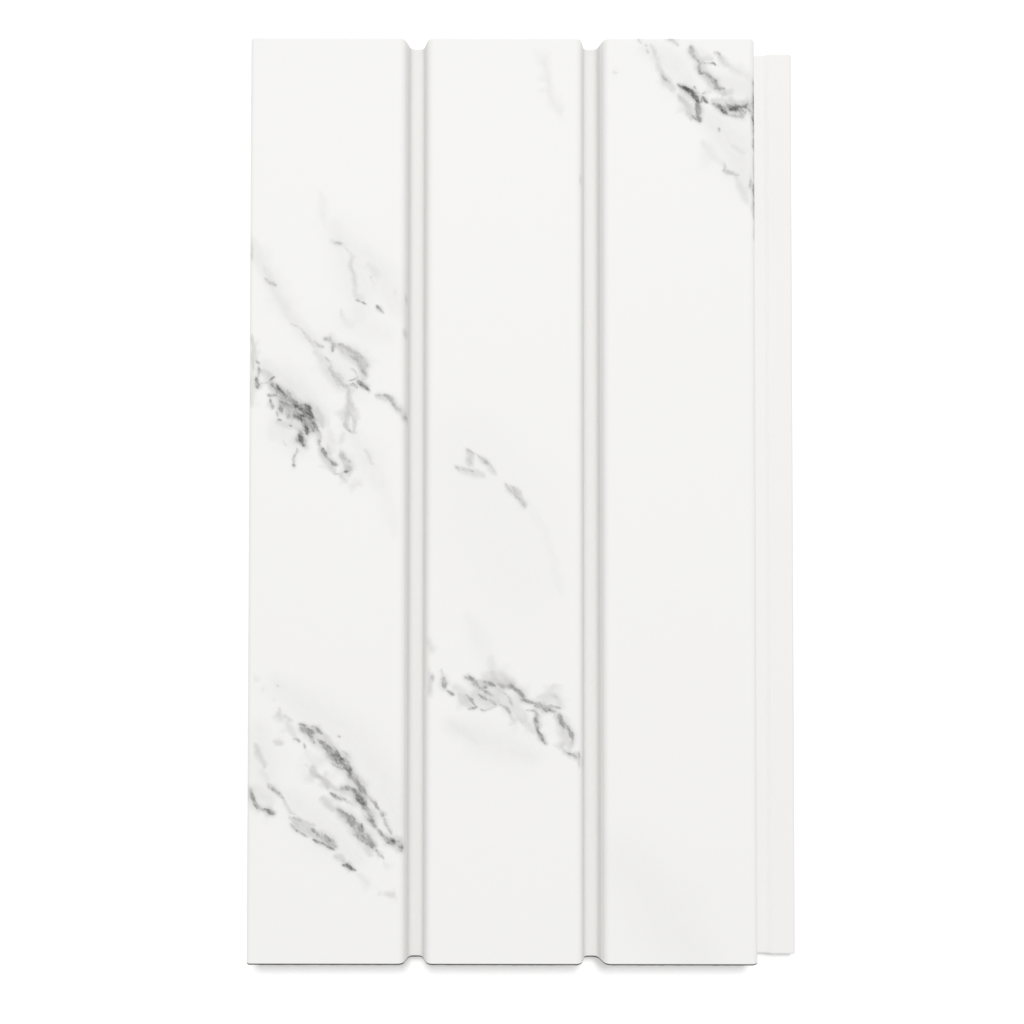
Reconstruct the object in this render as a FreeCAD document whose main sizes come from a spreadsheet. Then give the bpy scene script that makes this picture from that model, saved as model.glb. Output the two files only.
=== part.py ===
import FreeCAD, Part
import os

import Sketcher

# Interlocking wall panel of extruded foamed polystyrene, a short length of it, lying face up.
#
# The panel is one extrusion. Its face has flat slats parted by tapered grooves. Its right edge
# carries a thin tongue that lies level with the back, and its left edge has a rebate of the same
# size cut in the back, so that the next panel laps over the tongue. What stays bare of the tongue
# is as wide as a groove, and the joint reads as one more groove. Half-round flutes in the back
# give the glue a hold.
#
# X runs across the panel, from the rebate to the tongue, Y along it and Z out of the face.
# Millimetres.

# The driving sizes: name, value and what it measures.
SIZES = (
    ("panel_length", 262.0, "length of the cut piece, along Y"),
    ("thickness", 12.0, "back to face"),
    ("first_slat_width", 43.8, "left edge to the mouth of the first groove"),
    ("last_slat_width", 43.0, "mouth of the last groove to the right edge of the face"),
    ("groove_count", 2, "grooves in the face"),
    ("groove_pitch", 50.0, "from one groove to the next"),
    ("groove_mouth_width", 6.8, "between the walls, at the face, before rounding"),
    ("groove_floor_width", 3.4, "between the walls, at the floor, before rounding"),
    ("groove_depth", 5.6, "face to groove floor"),
    ("groove_shoulder_radius", 2.2, "where a groove wall meets the face"),
    ("groove_floor_radius", 1.5, "where a groove wall meets its floor"),
    ("left_edge_radius", 1.2, "left edge of the face"),
    ("right_edge_radius", 2.2, "right edge of the face"),
    ("joint_floor_width", 6.4, "bare part of the tongue, once the next panel is on"),
    ("tongue_root_thickness", 3.6, "tongue, at its bare part"),
    ("tongue_land_rise", 0.6, "from the bare part up to the land that the next panel covers"),
    ("tongue_land_width", 6.6, "covered part of the tongue"),
    ("tongue_ramp_width", 1.6, "slope from the bare part to the land"),
    ("tongue_ramp_radius", 1.8, "foot and top of that slope"),
    ("tongue_tip_radius", 0.8, "front of the tongue's free edge"),
    ("tongue_heel_radius", 0.8, "back of the tongue's free edge"),
    ("tongue_root_radius", 0.8, "where the tongue meets the edge of the face"),
    ("lap_side_clearance", 0.4, "tongue tip to the wall of the rebate"),
    ("lap_height_clearance", 0.25, "tongue's land to the roof of the rebate"),
    ("rebate_corner_radius", 0.5, "every lengthwise edge of the rebate"),
    ("flute_pitch", 14.0, "from one glue flute to the next"),
    ("flute_edge_margin", 10.0, "least from a glue flute to the rebate or the edge of the face"),
    ("flute_radius", 0.8, "half-round section of a glue flute"),
)

# Lines across the panel, worked out from those sizes.
LEFT_EDGE = "0"
FIRST_GROOVE_CENTRE = "(sizes.first_slat_width + sizes.groove_mouth_width / 2)"
FACE_WIDTH = (
    "(sizes.first_slat_width + (sizes.groove_count - 1) * sizes.groove_pitch"
    " + sizes.groove_mouth_width + sizes.last_slat_width)"
)
LAND_START = f"({FACE_WIDTH} + sizes.joint_floor_width)"
RAMP_START = f"({LAND_START} - sizes.tongue_ramp_width)"
TONGUE_END = f"({LAND_START} + sizes.tongue_land_width)"
REBATE_WIDTH = "(sizes.tongue_land_width + sizes.lap_side_clearance)"
FLUTE_ROOM = f"({FACE_WIDTH} - {REBATE_WIDTH} - 2 * sizes.flute_edge_margin)"
FLUTE_COUNT = f"(floor({FLUTE_ROOM} / sizes.flute_pitch) + 1)"
FLUTE_SPAN = f"(({FLUTE_COUNT} - 1) * sizes.flute_pitch)"
FIRST_FLUTE_CENTRE = f"(({REBATE_WIDTH} + {FACE_WIDTH} - {FLUTE_SPAN}) / 2)"

# Heights above the back.
BACK = "0"
FACE = "sizes.thickness"
GROOVE_FLOOR = "(sizes.thickness - sizes.groove_depth)"
TONGUE_ROOT = "sizes.tongue_root_thickness"
TONGUE_LAND = "(sizes.tongue_root_thickness + sizes.tongue_land_rise)"
REBATE_ROOF = f"({TONGUE_LAND} + sizes.lap_height_clearance)"

# Radii that are held back where a wall gets too narrow for them, as shares of that wall.
FLOOR_SHARE = 0.45
RAMP_SHARE = 1.2
TIP_SHARE = 0.5
HEEL_SHARE = 0.3
FLOOR_ROUND = f"min(sizes.groove_floor_radius; {FLOOR_SHARE} * sizes.groove_floor_width)"
RAMP_ROUND = f"min(sizes.tongue_ramp_radius; {RAMP_SHARE} * sizes.tongue_ramp_width)"
TIP_ROUND = f"min(sizes.tongue_tip_radius; {TIP_SHARE} * {TONGUE_LAND})"
HEEL_ROUND = f"min(sizes.tongue_heel_radius; {HEEL_SHARE} * {TONGUE_LAND})"

# Sketcher's numbers for the origin, the two axes and the ends of a line.
HORIZONTAL_AXIS, VERTICAL_AXIS = -1, -2
START, END, CENTRE = 1, 2, 3

# An edge is found by its middle, within this distance.
SAME_PLACE = 0.01

# A row of cuts takes as much as its number times one cut, within this share of one.
ROW_SLACK = 0.1


def fill_sheet(doc):
    """Puts the driving sizes in a sheet, each with its alias and its meaning."""
    sheet = doc.addObject("Spreadsheet::Sheet", "sizes")
    for row, (name, value, meaning) in enumerate(SIZES, start=1):
        sheet.set(f"A{row}", name)
        sheet.set(f"B{row}", str(value))
        sheet.set(f"C{row}", meaning)
        sheet.setAlias(f"B{row}", name)
    doc.recompute()


def value_of(item, expression):
    """The number that an expression over the sheet comes to."""
    return float(item.evalExpression(expression))


def new_section_sketch(body, name):
    """A sketch on the body's own cross-section plane, with X across and Z up."""
    section_plane = next(f for f in body.Origin.OriginFeatures if f.Role == "XZ_Plane")
    sketch = body.newObject("Sketcher::SketchObject", name)
    sketch.AttachmentSupport = (section_plane, [""])
    sketch.MapMode = "FlatFace"
    return sketch


def bind(sketch, constraint, label, expression):
    """Adds a dimension to the sketch under a name, and binds it to the sheet."""
    index = sketch.addConstraint(constraint)
    sketch.renameConstraint(index, label)
    sketch.setExpression(f"Constraints.{label}", expression)


def place_across(sketch, line, point, expression):
    """Holds a point of the sketch at a distance across from the left edge."""
    if expression == LEFT_EDGE:
        sketch.addConstraint(Sketcher.Constraint("PointOnObject", line, point, VERTICAL_AXIS))
        return
    distance = value_of(sketch, expression)
    dimension = Sketcher.Constraint("DistanceX", HORIZONTAL_AXIS, START, line, point, distance)
    bind(sketch, dimension, f"across_{line}", expression)


def place_up(sketch, line, point, expression):
    """Holds a point of the sketch at a height above the back."""
    if expression == BACK:
        sketch.addConstraint(Sketcher.Constraint("PointOnObject", line, point, HORIZONTAL_AXIS))
        return
    distance = value_of(sketch, expression)
    dimension = Sketcher.Constraint("DistanceY", HORIZONTAL_AXIS, START, line, point, distance)
    bind(sketch, dimension, f"up_{line}", expression)


def draw_outline(sketch, corners):
    """Draws a closed outline through corners, each an (across, up) pair of expressions.

    A line whose two ends share an expression is held upright or level. Each other place gets one
    dimension of its own, so the sketch is fully constrained.
    """
    points = [
        FreeCAD.Vector(value_of(sketch, across), value_of(sketch, up), 0)
        for across, up in corners
    ]
    count = len(corners)
    for line in range(count):
        sketch.addGeometry(Part.LineSegment(points[line], points[(line + 1) % count]), False)
    for line, (across, up) in enumerate(corners):
        following = (line + 1) % count
        sketch.addConstraint(Sketcher.Constraint("Coincident", line, END, following, START))
        if corners[following][0] == across:
            sketch.addConstraint(Sketcher.Constraint("Vertical", line))
        if corners[following][1] == up:
            sketch.addConstraint(Sketcher.Constraint("Horizontal", line))
    for line, (across, up) in enumerate(corners):
        if corners[line - 1][0] != across:
            place_across(sketch, line, START, across)
        if corners[line - 1][1] != up:
            place_up(sketch, line, START, up)


def add_board(body):
    """The slab with its tongue on the right and its rebate on the left."""
    sketch = new_section_sketch(body, "board_section")
    draw_outline(
        sketch,
        (
            (REBATE_WIDTH, BACK),
            (TONGUE_END, BACK),
            (TONGUE_END, TONGUE_LAND),
            (LAND_START, TONGUE_LAND),
            (RAMP_START, TONGUE_ROOT),
            (FACE_WIDTH, TONGUE_ROOT),
            (FACE_WIDTH, FACE),
            (LEFT_EDGE, FACE),
            (LEFT_EDGE, REBATE_ROOF),
            (REBATE_WIDTH, REBATE_ROOF),
        ),
    )
    board = body.newObject("PartDesign::Pad", "board")
    board.Profile = sketch
    board.SideType = "Symmetric"
    board.setExpression("Length", "sizes.panel_length")
    body.Document.recompute()


def cut_row(body, sketch, name, count, pitch):
    """Cuts a section along the whole panel, and repeats the cut across it."""
    uncut_volume = body.Tip.Shape.Volume
    cut = body.newObject("PartDesign::Pocket", name)
    cut.Profile = sketch
    cut.SideType = "Symmetric"
    cut.setExpression("Length", "sizes.panel_length")
    body.Document.recompute()
    one_cut = uncut_volume - cut.Shape.Volume
    if one_cut <= 0:
        raise RuntimeError(f"{name} cuts nothing")

    row = body.newObject("PartDesign::LinearPattern", name + "_row")
    row.Originals = [cut]
    row.Direction = (sketch, ["H_Axis"])
    row.Mode = "Spacing"
    row.setExpression("Offset", pitch)
    row.setExpression("Occurrences", count)
    body.Tip = row
    body.Document.recompute()
    expected = uncut_volume - one_cut * value_of(row, count)
    if abs(row.Shape.Volume - expected) > one_cut * ROW_SLACK:
        raise RuntimeError(f"{name} isn't cut as often as it should be")


def add_face_grooves(body):
    """The tapered grooves between the slats."""
    left_mouth = f"({FIRST_GROOVE_CENTRE} - sizes.groove_mouth_width / 2)"
    left_floor = f"({FIRST_GROOVE_CENTRE} - sizes.groove_floor_width / 2)"
    right_floor = f"({FIRST_GROOVE_CENTRE} + sizes.groove_floor_width / 2)"
    right_mouth = f"({FIRST_GROOVE_CENTRE} + sizes.groove_mouth_width / 2)"
    sketch = new_section_sketch(body, "groove_section")
    draw_outline(
        sketch,
        (
            (left_mouth, FACE),
            (left_floor, GROOVE_FLOOR),
            (right_floor, GROOVE_FLOOR),
            (right_mouth, FACE),
        ),
    )
    cut_row(body, sketch, "face_groove", "sizes.groove_count", "sizes.groove_pitch")


def add_glue_flutes(body):
    """The half-round flutes in the back, centred between the rebate and the edge of the face."""
    sketch = new_section_sketch(body, "flute_section")
    centre = FreeCAD.Vector(value_of(sketch, FIRST_FLUTE_CENTRE), 0, 0)
    radius = value_of(sketch, "sizes.flute_radius")
    circle = sketch.addGeometry(Part.Circle(centre, FreeCAD.Vector(0, 0, 1), radius), False)
    place_across(sketch, circle, CENTRE, FIRST_FLUTE_CENTRE)
    place_up(sketch, circle, CENTRE, BACK)
    dimension = Sketcher.Constraint("Radius", circle, radius)
    bind(sketch, dimension, "flute_round", "sizes.flute_radius")
    cut_row(body, sketch, "glue_flute", FLUTE_COUNT, "sizes.flute_pitch")


def lengthwise_edge(feature, across, up):
    """The name of the edge that runs along the panel at one place of its section."""
    wanted = FreeCAD.Vector(value_of(feature, across), 0, value_of(feature, up))
    for number, edge in enumerate(feature.Shape.Edges, start=1):
        if (edge.CenterOfMass - wanted).Length < SAME_PLACE:
            return f"Edge{number}"
    raise RuntimeError(f"no lengthwise edge at {wanted}")


def round_edges(body, name, radius, places):
    """Rounds the lengthwise edges at the given (across, up) places of the section."""
    feature = body.Tip
    fillet = body.newObject("PartDesign::Fillet", name)
    fillet.Base = (feature, [lengthwise_edge(feature, across, up) for across, up in places])
    fillet.setExpression("Radius", radius)
    body.Document.recompute()


def round_grooves(body):
    """Rounds the shoulders and the floor corners of every groove."""
    shoulders = []
    floor_corners = []
    for number in range(int(value_of(body, "sizes.groove_count"))):
        centre = f"{FIRST_GROOVE_CENTRE} + {number} * sizes.groove_pitch"
        for side in ("-", "+"):
            shoulders.append((f"{centre} {side} sizes.groove_mouth_width / 2", FACE))
            floor_corners.append((f"{centre} {side} sizes.groove_floor_width / 2", GROOVE_FLOOR))
    round_edges(body, "groove_shoulders", "sizes.groove_shoulder_radius", shoulders)
    round_edges(body, "groove_floor_corners", FLOOR_ROUND, floor_corners)


def round_outer_edges(body):
    """Rounds the edges of the face, the tongue and the rebate."""
    round_edges(body, "left_edge", "sizes.left_edge_radius", [(LEFT_EDGE, FACE)])
    round_edges(body, "right_edge", "sizes.right_edge_radius", [(FACE_WIDTH, FACE)])
    round_edges(body, "tongue_root", "sizes.tongue_root_radius", [(FACE_WIDTH, TONGUE_ROOT)])
    round_edges(
        body,
        "tongue_ramp",
        RAMP_ROUND,
        [(RAMP_START, TONGUE_ROOT), (LAND_START, TONGUE_LAND)],
    )
    round_edges(body, "tongue_tip", TIP_ROUND, [(TONGUE_END, TONGUE_LAND)])
    round_edges(body, "tongue_heel", HEEL_ROUND, [(TONGUE_END, BACK)])
    round_edges(
        body,
        "rebate_corners",
        "sizes.rebate_corner_radius",
        [(LEFT_EDGE, REBATE_ROOF), (REBATE_WIDTH, REBATE_ROOF), (REBATE_WIDTH, BACK)],
    )


def build_wall_panel(doc):
    """The whole panel, with its origin in the middle of the back."""
    body = doc.addObject("PartDesign::Body", "wall_panel")
    body.Label = "wall_panel"
    add_board(body)
    add_face_grooves(body)
    add_glue_flutes(body)
    round_grooves(body)
    round_outer_edges(body)
    body.setExpression("Placement.Base.x", f"-{TONGUE_END} / 2")
    doc.recompute()
    return body


def check(doc, bodies):
    """Stops the build if a feature failed or a solid isn't sound."""
    for item in doc.Objects:
        if "Invalid" in item.State or "Error" in item.State:
            raise RuntimeError(f"{item.Label} failed: {item.State}")
        if item.TypeId == "Sketcher::SketchObject" and not item.FullyConstrained:
            raise RuntimeError(f"{item.Label} isn't fully constrained")
    for body in bodies:
        shape = body.Shape
        if shape.isNull() or not shape.isValid() or len(shape.Solids) != 1:
            raise RuntimeError(f"{body.Label} isn't one valid solid")
        box = shape.BoundBox
        print(
            f"{body.Label}: {box.XLength:.2f} x {box.YLength:.2f} x {box.ZLength:.2f} mm,"
            f" {shape.Volume / 1000:.2f} cm3"
        )


def main():
    doc = FreeCAD.newDocument("wall_panel_length")
    fill_sheet(doc)
    bodies = [build_wall_panel(doc)]
    check(doc, bodies)
    os.makedirs("parts", exist_ok=True)
    for body in bodies:
        body.Shape.exportStep(f"parts/{body.Label}.step")


main()
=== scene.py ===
"""Looks of a grooved wall panel of foamed polystyrene with a marble print, lying face up."""

import math

import bmesh
import bpy
import numpy as np
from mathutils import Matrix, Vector, noise
from mathutils.geometry import delaunay_2d_cdt


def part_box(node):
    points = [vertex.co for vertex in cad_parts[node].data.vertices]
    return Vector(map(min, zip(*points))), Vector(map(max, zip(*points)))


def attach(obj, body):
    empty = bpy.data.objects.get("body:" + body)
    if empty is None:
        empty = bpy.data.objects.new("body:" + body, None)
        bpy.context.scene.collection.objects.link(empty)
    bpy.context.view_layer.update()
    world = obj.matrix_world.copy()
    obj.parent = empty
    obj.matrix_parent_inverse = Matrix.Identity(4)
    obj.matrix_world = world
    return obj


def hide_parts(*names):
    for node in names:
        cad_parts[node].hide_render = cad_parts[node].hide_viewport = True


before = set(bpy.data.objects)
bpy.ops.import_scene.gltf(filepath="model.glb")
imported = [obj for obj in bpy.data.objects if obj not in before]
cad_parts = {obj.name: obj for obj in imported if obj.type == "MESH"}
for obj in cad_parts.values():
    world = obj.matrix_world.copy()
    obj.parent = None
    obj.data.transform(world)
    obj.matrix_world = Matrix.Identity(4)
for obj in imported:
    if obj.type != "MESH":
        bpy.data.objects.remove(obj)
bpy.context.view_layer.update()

bl_info = {
    "name": "Marble wall panel",
    "version": (1, 0, 0),
    "blender": (4, 5, 0),
    "location": "3D View > Sidebar > Wall panel",
    "description": "Makes the printed face, the foam and the studio of a grooved wall panel",
    "category": "Object",
}

NODE = "wall_panel"
PIECE = "marble_wall_panel"
BODY = "root"
MM = 0.001
LOWEST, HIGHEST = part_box(NODE)
LENGTH = HIGHEST.y - LOWEST.y
THICKNESS = HIGHEST.z


# What a user may change.


def size(name, description, millimetres):
    """A length, in Blender's metres."""
    return bpy.props.FloatProperty(
        name=name, description=description, default=millimetres * MM, unit="LENGTH", precision=5
    )


def colour(name, description, value):
    """A surface colour."""
    return bpy.props.FloatVectorProperty(
        name=name, description=description, default=value, subtype="COLOR", size=3, min=0, soft_max=1
    )


def amount(name, description, value, most=1.0):
    """A plain number."""
    return bpy.props.FloatProperty(
        name=name, description=description, default=value, min=0, max=most
    )


def angle(name, description, degrees):
    """A turn."""
    return bpy.props.FloatProperty(
        name=name, description=description, default=math.radians(degrees), subtype="ANGLE"
    )


class PanelSizes(bpy.types.PropertyGroup):
    """The section of the panel. Its box comes from the part in model.glb."""

    first_slat_width: size("First slat", "Left edge to the first groove's mouth", 43.8)
    groove_pitch: size("Groove pitch", "From one groove to the next", 50.0)
    groove_mouth_width: size("Groove mouth", "Between the walls, at the face", 6.8)
    groove_floor_width: size("Groove floor", "Between the walls, at the floor", 3.4)
    groove_depth: size("Groove depth", "Face to groove floor", 5.6)
    groove_count: bpy.props.IntProperty(
        name="Grooves", description="Grooves in the face", default=2, min=1
    )
    shoulder_radius: size("Shoulder radius", "Where a groove wall meets the face", 2.2)
    floor_radius: size("Floor radius", "Where a groove wall meets its floor", 1.5)
    left_edge_radius: size("Left edge radius", "Left edge of the face", 1.2)
    right_edge_radius: size("Right edge radius", "Right edge of the face", 2.2)
    joint_floor_width: size("Joint floor", "Bare part of the tongue", 6.4)
    root_thickness: size("Tongue root", "Tongue thickness at its bare part", 3.6)
    land_rise: size("Land rise", "From the bare part up to the land", 0.6)
    land_width: size("Land width", "Covered part of the tongue", 6.6)
    ramp_width: size("Ramp width", "Slope from the bare part to the land", 1.6)
    ramp_radius: size("Ramp radius", "Foot and top of that slope", 1.8)
    tip_radius: size("Tip radius", "Front of the tongue's free edge", 0.8)
    heel_radius: size("Heel radius", "Back of the tongue's free edge", 0.8)
    root_radius: size("Root radius", "Where the tongue meets the face's edge", 0.8)
    side_clearance: size("Side clearance", "Tongue tip to the rebate's wall", 0.4)
    height_clearance: size("Height clearance", "Tongue to the rebate's roof", 0.25)
    rebate_radius: size("Rebate radius", "Lengthwise edges of the rebate", 0.5)
    flute_pitch: size("Flute pitch", "From one glue flute to the next", 14.0)
    flute_margin: size("Flute margin", "Least from a flute to the edge of its strip", 10.0)
    flute_radius: size("Flute radius", "Half-round section of a glue flute", 0.8)


class PanelFinish(bpy.types.PropertyGroup):
    """The colours and the surface of the panel."""

    film_colour: colour("Film", "Ground of the marble print", (0.868, 0.864, 0.852))
    # The grooves' skin is darker than the tongue's: partly the skin's own colour, partly painted shade of
    # the grooves.
    groove_skin_and_shade_colour: colour("Skin", "Plain skin of the grooves", (0.775, 0.765, 0.75))
    tongue_colour: colour("Tongue", "Plain skin of the tongue", (0.855, 0.845, 0.83))
    # Painted shadow: a near-black line along the lower end's edge of the face and grooves, standing in
    # for the contact shade there.
    painted_shadow_colour: colour("Painted shadow line", "Edge of the lower sawn end", (0.08, 0.078, 0.075))
    foam_colour: colour("Foam", "Sawn foam of the ends", (0.85, 0.85, 0.84))
    cell_colour: colour("Cells", "Opened cells of the sawn foam", (0.72, 0.72, 0.70))
    film_roughness: amount("Film roughness", "Roughness of the print", 0.68)
    skin_roughness: amount("Skin roughness", "Roughness of the plain skin", 0.65)
    foam_roughness: amount("Foam roughness", "Roughness of the sawn foam", 0.85)
    film_reach: size("Film reach", "How far the print runs down from the face", 3.0)
    # Width of that painted shadow line at the lower end.
    painted_shadow_width: size("Painted shadow width", "Width of that edge", 0.55)
    cloud_strength: amount("Cloud strength", "Darkness of the clouds beside what is written", 1.3, 2.0)
    vein_strength: amount("Vein strength", "Darkness of the veins beside what is written", 0.52, 2.0)
    core_strength: amount("Core strength", "Darkness of the cores beside what is written", 0.5, 2.0)
    grain: size("Print grain", "Width of the dots that the veins are printed in", 0.45)
    blotch: size("Print blotches", "Width of the darker and paler places in a vein", 1.3)
    grain_angle: angle("Grain angle", "Lean of the veins' grain from straight across", 54.0)
    saw_relief: size("Saw relief", "Depth of the torn cells in a sawn end", 0.12)
    arris_radius: size("Arris radius", "Wear of a sawn end's edge", 0.5)
    arris_wear: amount("Arris wear", "How unevenly that edge is worn", 0.5)


class Studio(bpy.types.PropertyGroup):
    """The floor, the lights and the camera."""

    camera_height: size("Camera height", "Camera above the face", 255.0)
    camera_across: size("Camera across", "Camera from the panel's centre line", -18.8)
    camera_along: size("Camera along", "Camera from the panel's middle", -20.8)
    camera_roll: angle("Camera roll", "Turn of the picture", 0.08)
    camera_tilt: angle("Camera tilt", "Lean of the view towards the panel's upper end", 0.93)
    focal_length: bpy.props.FloatProperty(
        name="Focal length", description="For a sensor 36 mm wide", default=31.84, min=1
    )
    shift_across: amount("Shift across", "Of the lens, in picture widths", 0.0515)
    shift_up: amount("Shift up", "Of the lens, in picture widths", 0.0438)
    floor_colour: colour("Floor", "Floor as it lights the panel", (0.8, 0.8, 0.8))
    backdrop_colour: colour("Backdrop", "Floor as the camera sees it", (1.06, 1.06, 1.06))
    sky_strength: amount("Sky", "Strength of the even light from all round", 0.575, 10.0)
    key_power: amount("Key", "Power of the lamp beyond the panel's upper end, in watts", 183.0, 1000.0)


# The marks of the print, in millimetres across and down from the upper left corner of the face.
# Each has its kind, how much darker than the ground it is, its width and its route. A soft mark
# is a cloud, a vein has an edge, and a core is the dark heart of a vein. All were read off.

SOFT, VEIN, CORE = "soft", "vein", "core"

STREAKS_ABOVE_THE_RING = (
    (SOFT, 0.05, 2, (3.9, 65.4), (5.4, 67.4), (7, 71.6)),
    (VEIN, 0.24, 0.9, (4.2, 67.8), (5.5, 69.4), (7.2, 70.4)),
    (SOFT, 0.035, 2.4, (7.4, 72), (9.5, 76), (11.6, 80)),
    (SOFT, 0.08, 0.9, (0.6, 59), (0.7, 63)),
    (VEIN, 0.27, 1, (24.2, 58), (26, 58.4)),
    (SOFT, 0.05, 2.2, (23, 57.6), (26.6, 58.8)),
    (SOFT, 0.06, 1.1, (27.4, 59.6), (28.2, 60.9)),
    (SOFT, 0.08, 1.5, (28.7, 61), (28.5, 64.6), (29, 67)),
    (SOFT, 0.08, 2.3, (29, 66.6), (29.8, 69.4)),
    (SOFT, 0.06, 1.8, (29.6, 69.4), (30, 73.6)),
    (SOFT, 0.05, 2.6, (30.2, 73), (32, 74.2)),
    (CORE, 0.5, 0.7, (30, 74.3), (31, 74.7)),
    (CORE, 0.45, 0.6, (31.6, 74.8), (32.5, 75)),
    (CORE, 0.42, 0.8, (35.9, 75.9), (36.7, 76.9), (37.5, 77.8)),
    (SOFT, 0.07, 1, (33.5, 63.5), (33, 64.9)),
    (SOFT, 0.045, 3.4, (34, 64.6), (36.4, 67.8)),
    (SOFT, 0.08, 1, (34.2, 67.4), (34.6, 68.5)),
    (SOFT, 0.035, 1.8, (34.7, 69), (35, 71)),
    (SOFT, 0.07, 1.1, (26, 77.3), (26.2, 78.9)),
    (SOFT, 0.035, 3, (26.2, 79.6), (29, 81.6)),
    (SOFT, 0.05, 1.4, (40.7, 71.9), (41.6, 72.9)),
    (SOFT, 0.08, 1.2, (43.2, 82.2), (44.2, 83.8)),
    (SOFT, 0.07, 1, (44, 73), (43.8, 75)),
    (SOFT, 0.11, 1, (0.5, 84.8), (0.7, 87.2)),
)

THE_RING = (
    (VEIN, 0.11, 0.7, (11.6, 81), (13.9, 82.1), (15.9, 83.8), (17.6, 85.8)),
    (VEIN, 0.15, 1.3, (15.3, 83.5), (17.3, 85.8), (18.7, 87.2), (20.4, 87.5)),
    (VEIN, 0.3, 1.4, (21.2, 85.2), (22.7, 85.2), (23.5, 86.6), (23.5, 88.6)),
    (VEIN, 0.21, 2, (25.2, 86.9), (27.2, 88.3), (29.5, 89.4), (31.2, 91.1), (32.3, 93.4), (32.3, 95.1)),
    (SOFT, 0.1, 3.4, (24.4, 87.2), (28.9, 89.4), (32.3, 92.8), (32, 96.2)),
    (VEIN, 0.17, 0.7, (28.3, 93.7), (29.5, 94.2), (30.6, 95.9)),
    (VEIN, 0.15, 0.7, (21.5, 90.3), (22.4, 92), (23.2, 93.7)),
    (VEIN, 0.15, 2, (22.7, 93.7), (24.4, 95.7), (25.8, 97.6), (27.5, 98.8)),
    (VEIN, 0.32, 0.5, (27.8, 96.9), (29.2, 96.5), (30.6, 95.9)),
    (VEIN, 0.23, 0.85, (26.6, 98.5), (28.3, 98.5), (29.5, 97.9), (30.6, 99.3)),
    (CORE, 0.67, 1, (30.7, 96.9), (31.9, 98.1), (33.6, 99.8)),
    (SOFT, 0.06, 4, (19.3, 88.9), (22.1, 93.4), (25.5, 97.9), (28.9, 99.6)),
    (VEIN, 0.26, 0.9, (35.6, 101), (37.7, 101.3), (39.4, 101.6)),
    (VEIN, 0.22, 1.1, (38.5, 101.3), (40.5, 102.7), (41.6, 104.7), (43.6, 106.7), (44.8, 108.7)),
    (SOFT, 0.09, 2, (36.3, 101.6), (39.9, 102.2), (42.2, 105.3), (44.5, 108.1)),
    (SOFT, 0.12, 1.4, (27.8, 99.3), (28, 103), (27.8, 105.8), (26.9, 108.7), (28.3, 111.2)),
    (SOFT, 0.1, 1.4, (28.6, 102.4), (29.2, 106.4), (29.7, 110.9)),
    (VEIN, 0.17, 1.7, (28.3, 111.2), (30, 111.8)),
    (SOFT, 0.05, 2, (26.6, 112), (25.5, 114.9)),
    (SOFT, 0.07, 1.1, (32.3, 116.3), (34.8, 120.2)),
)

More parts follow.
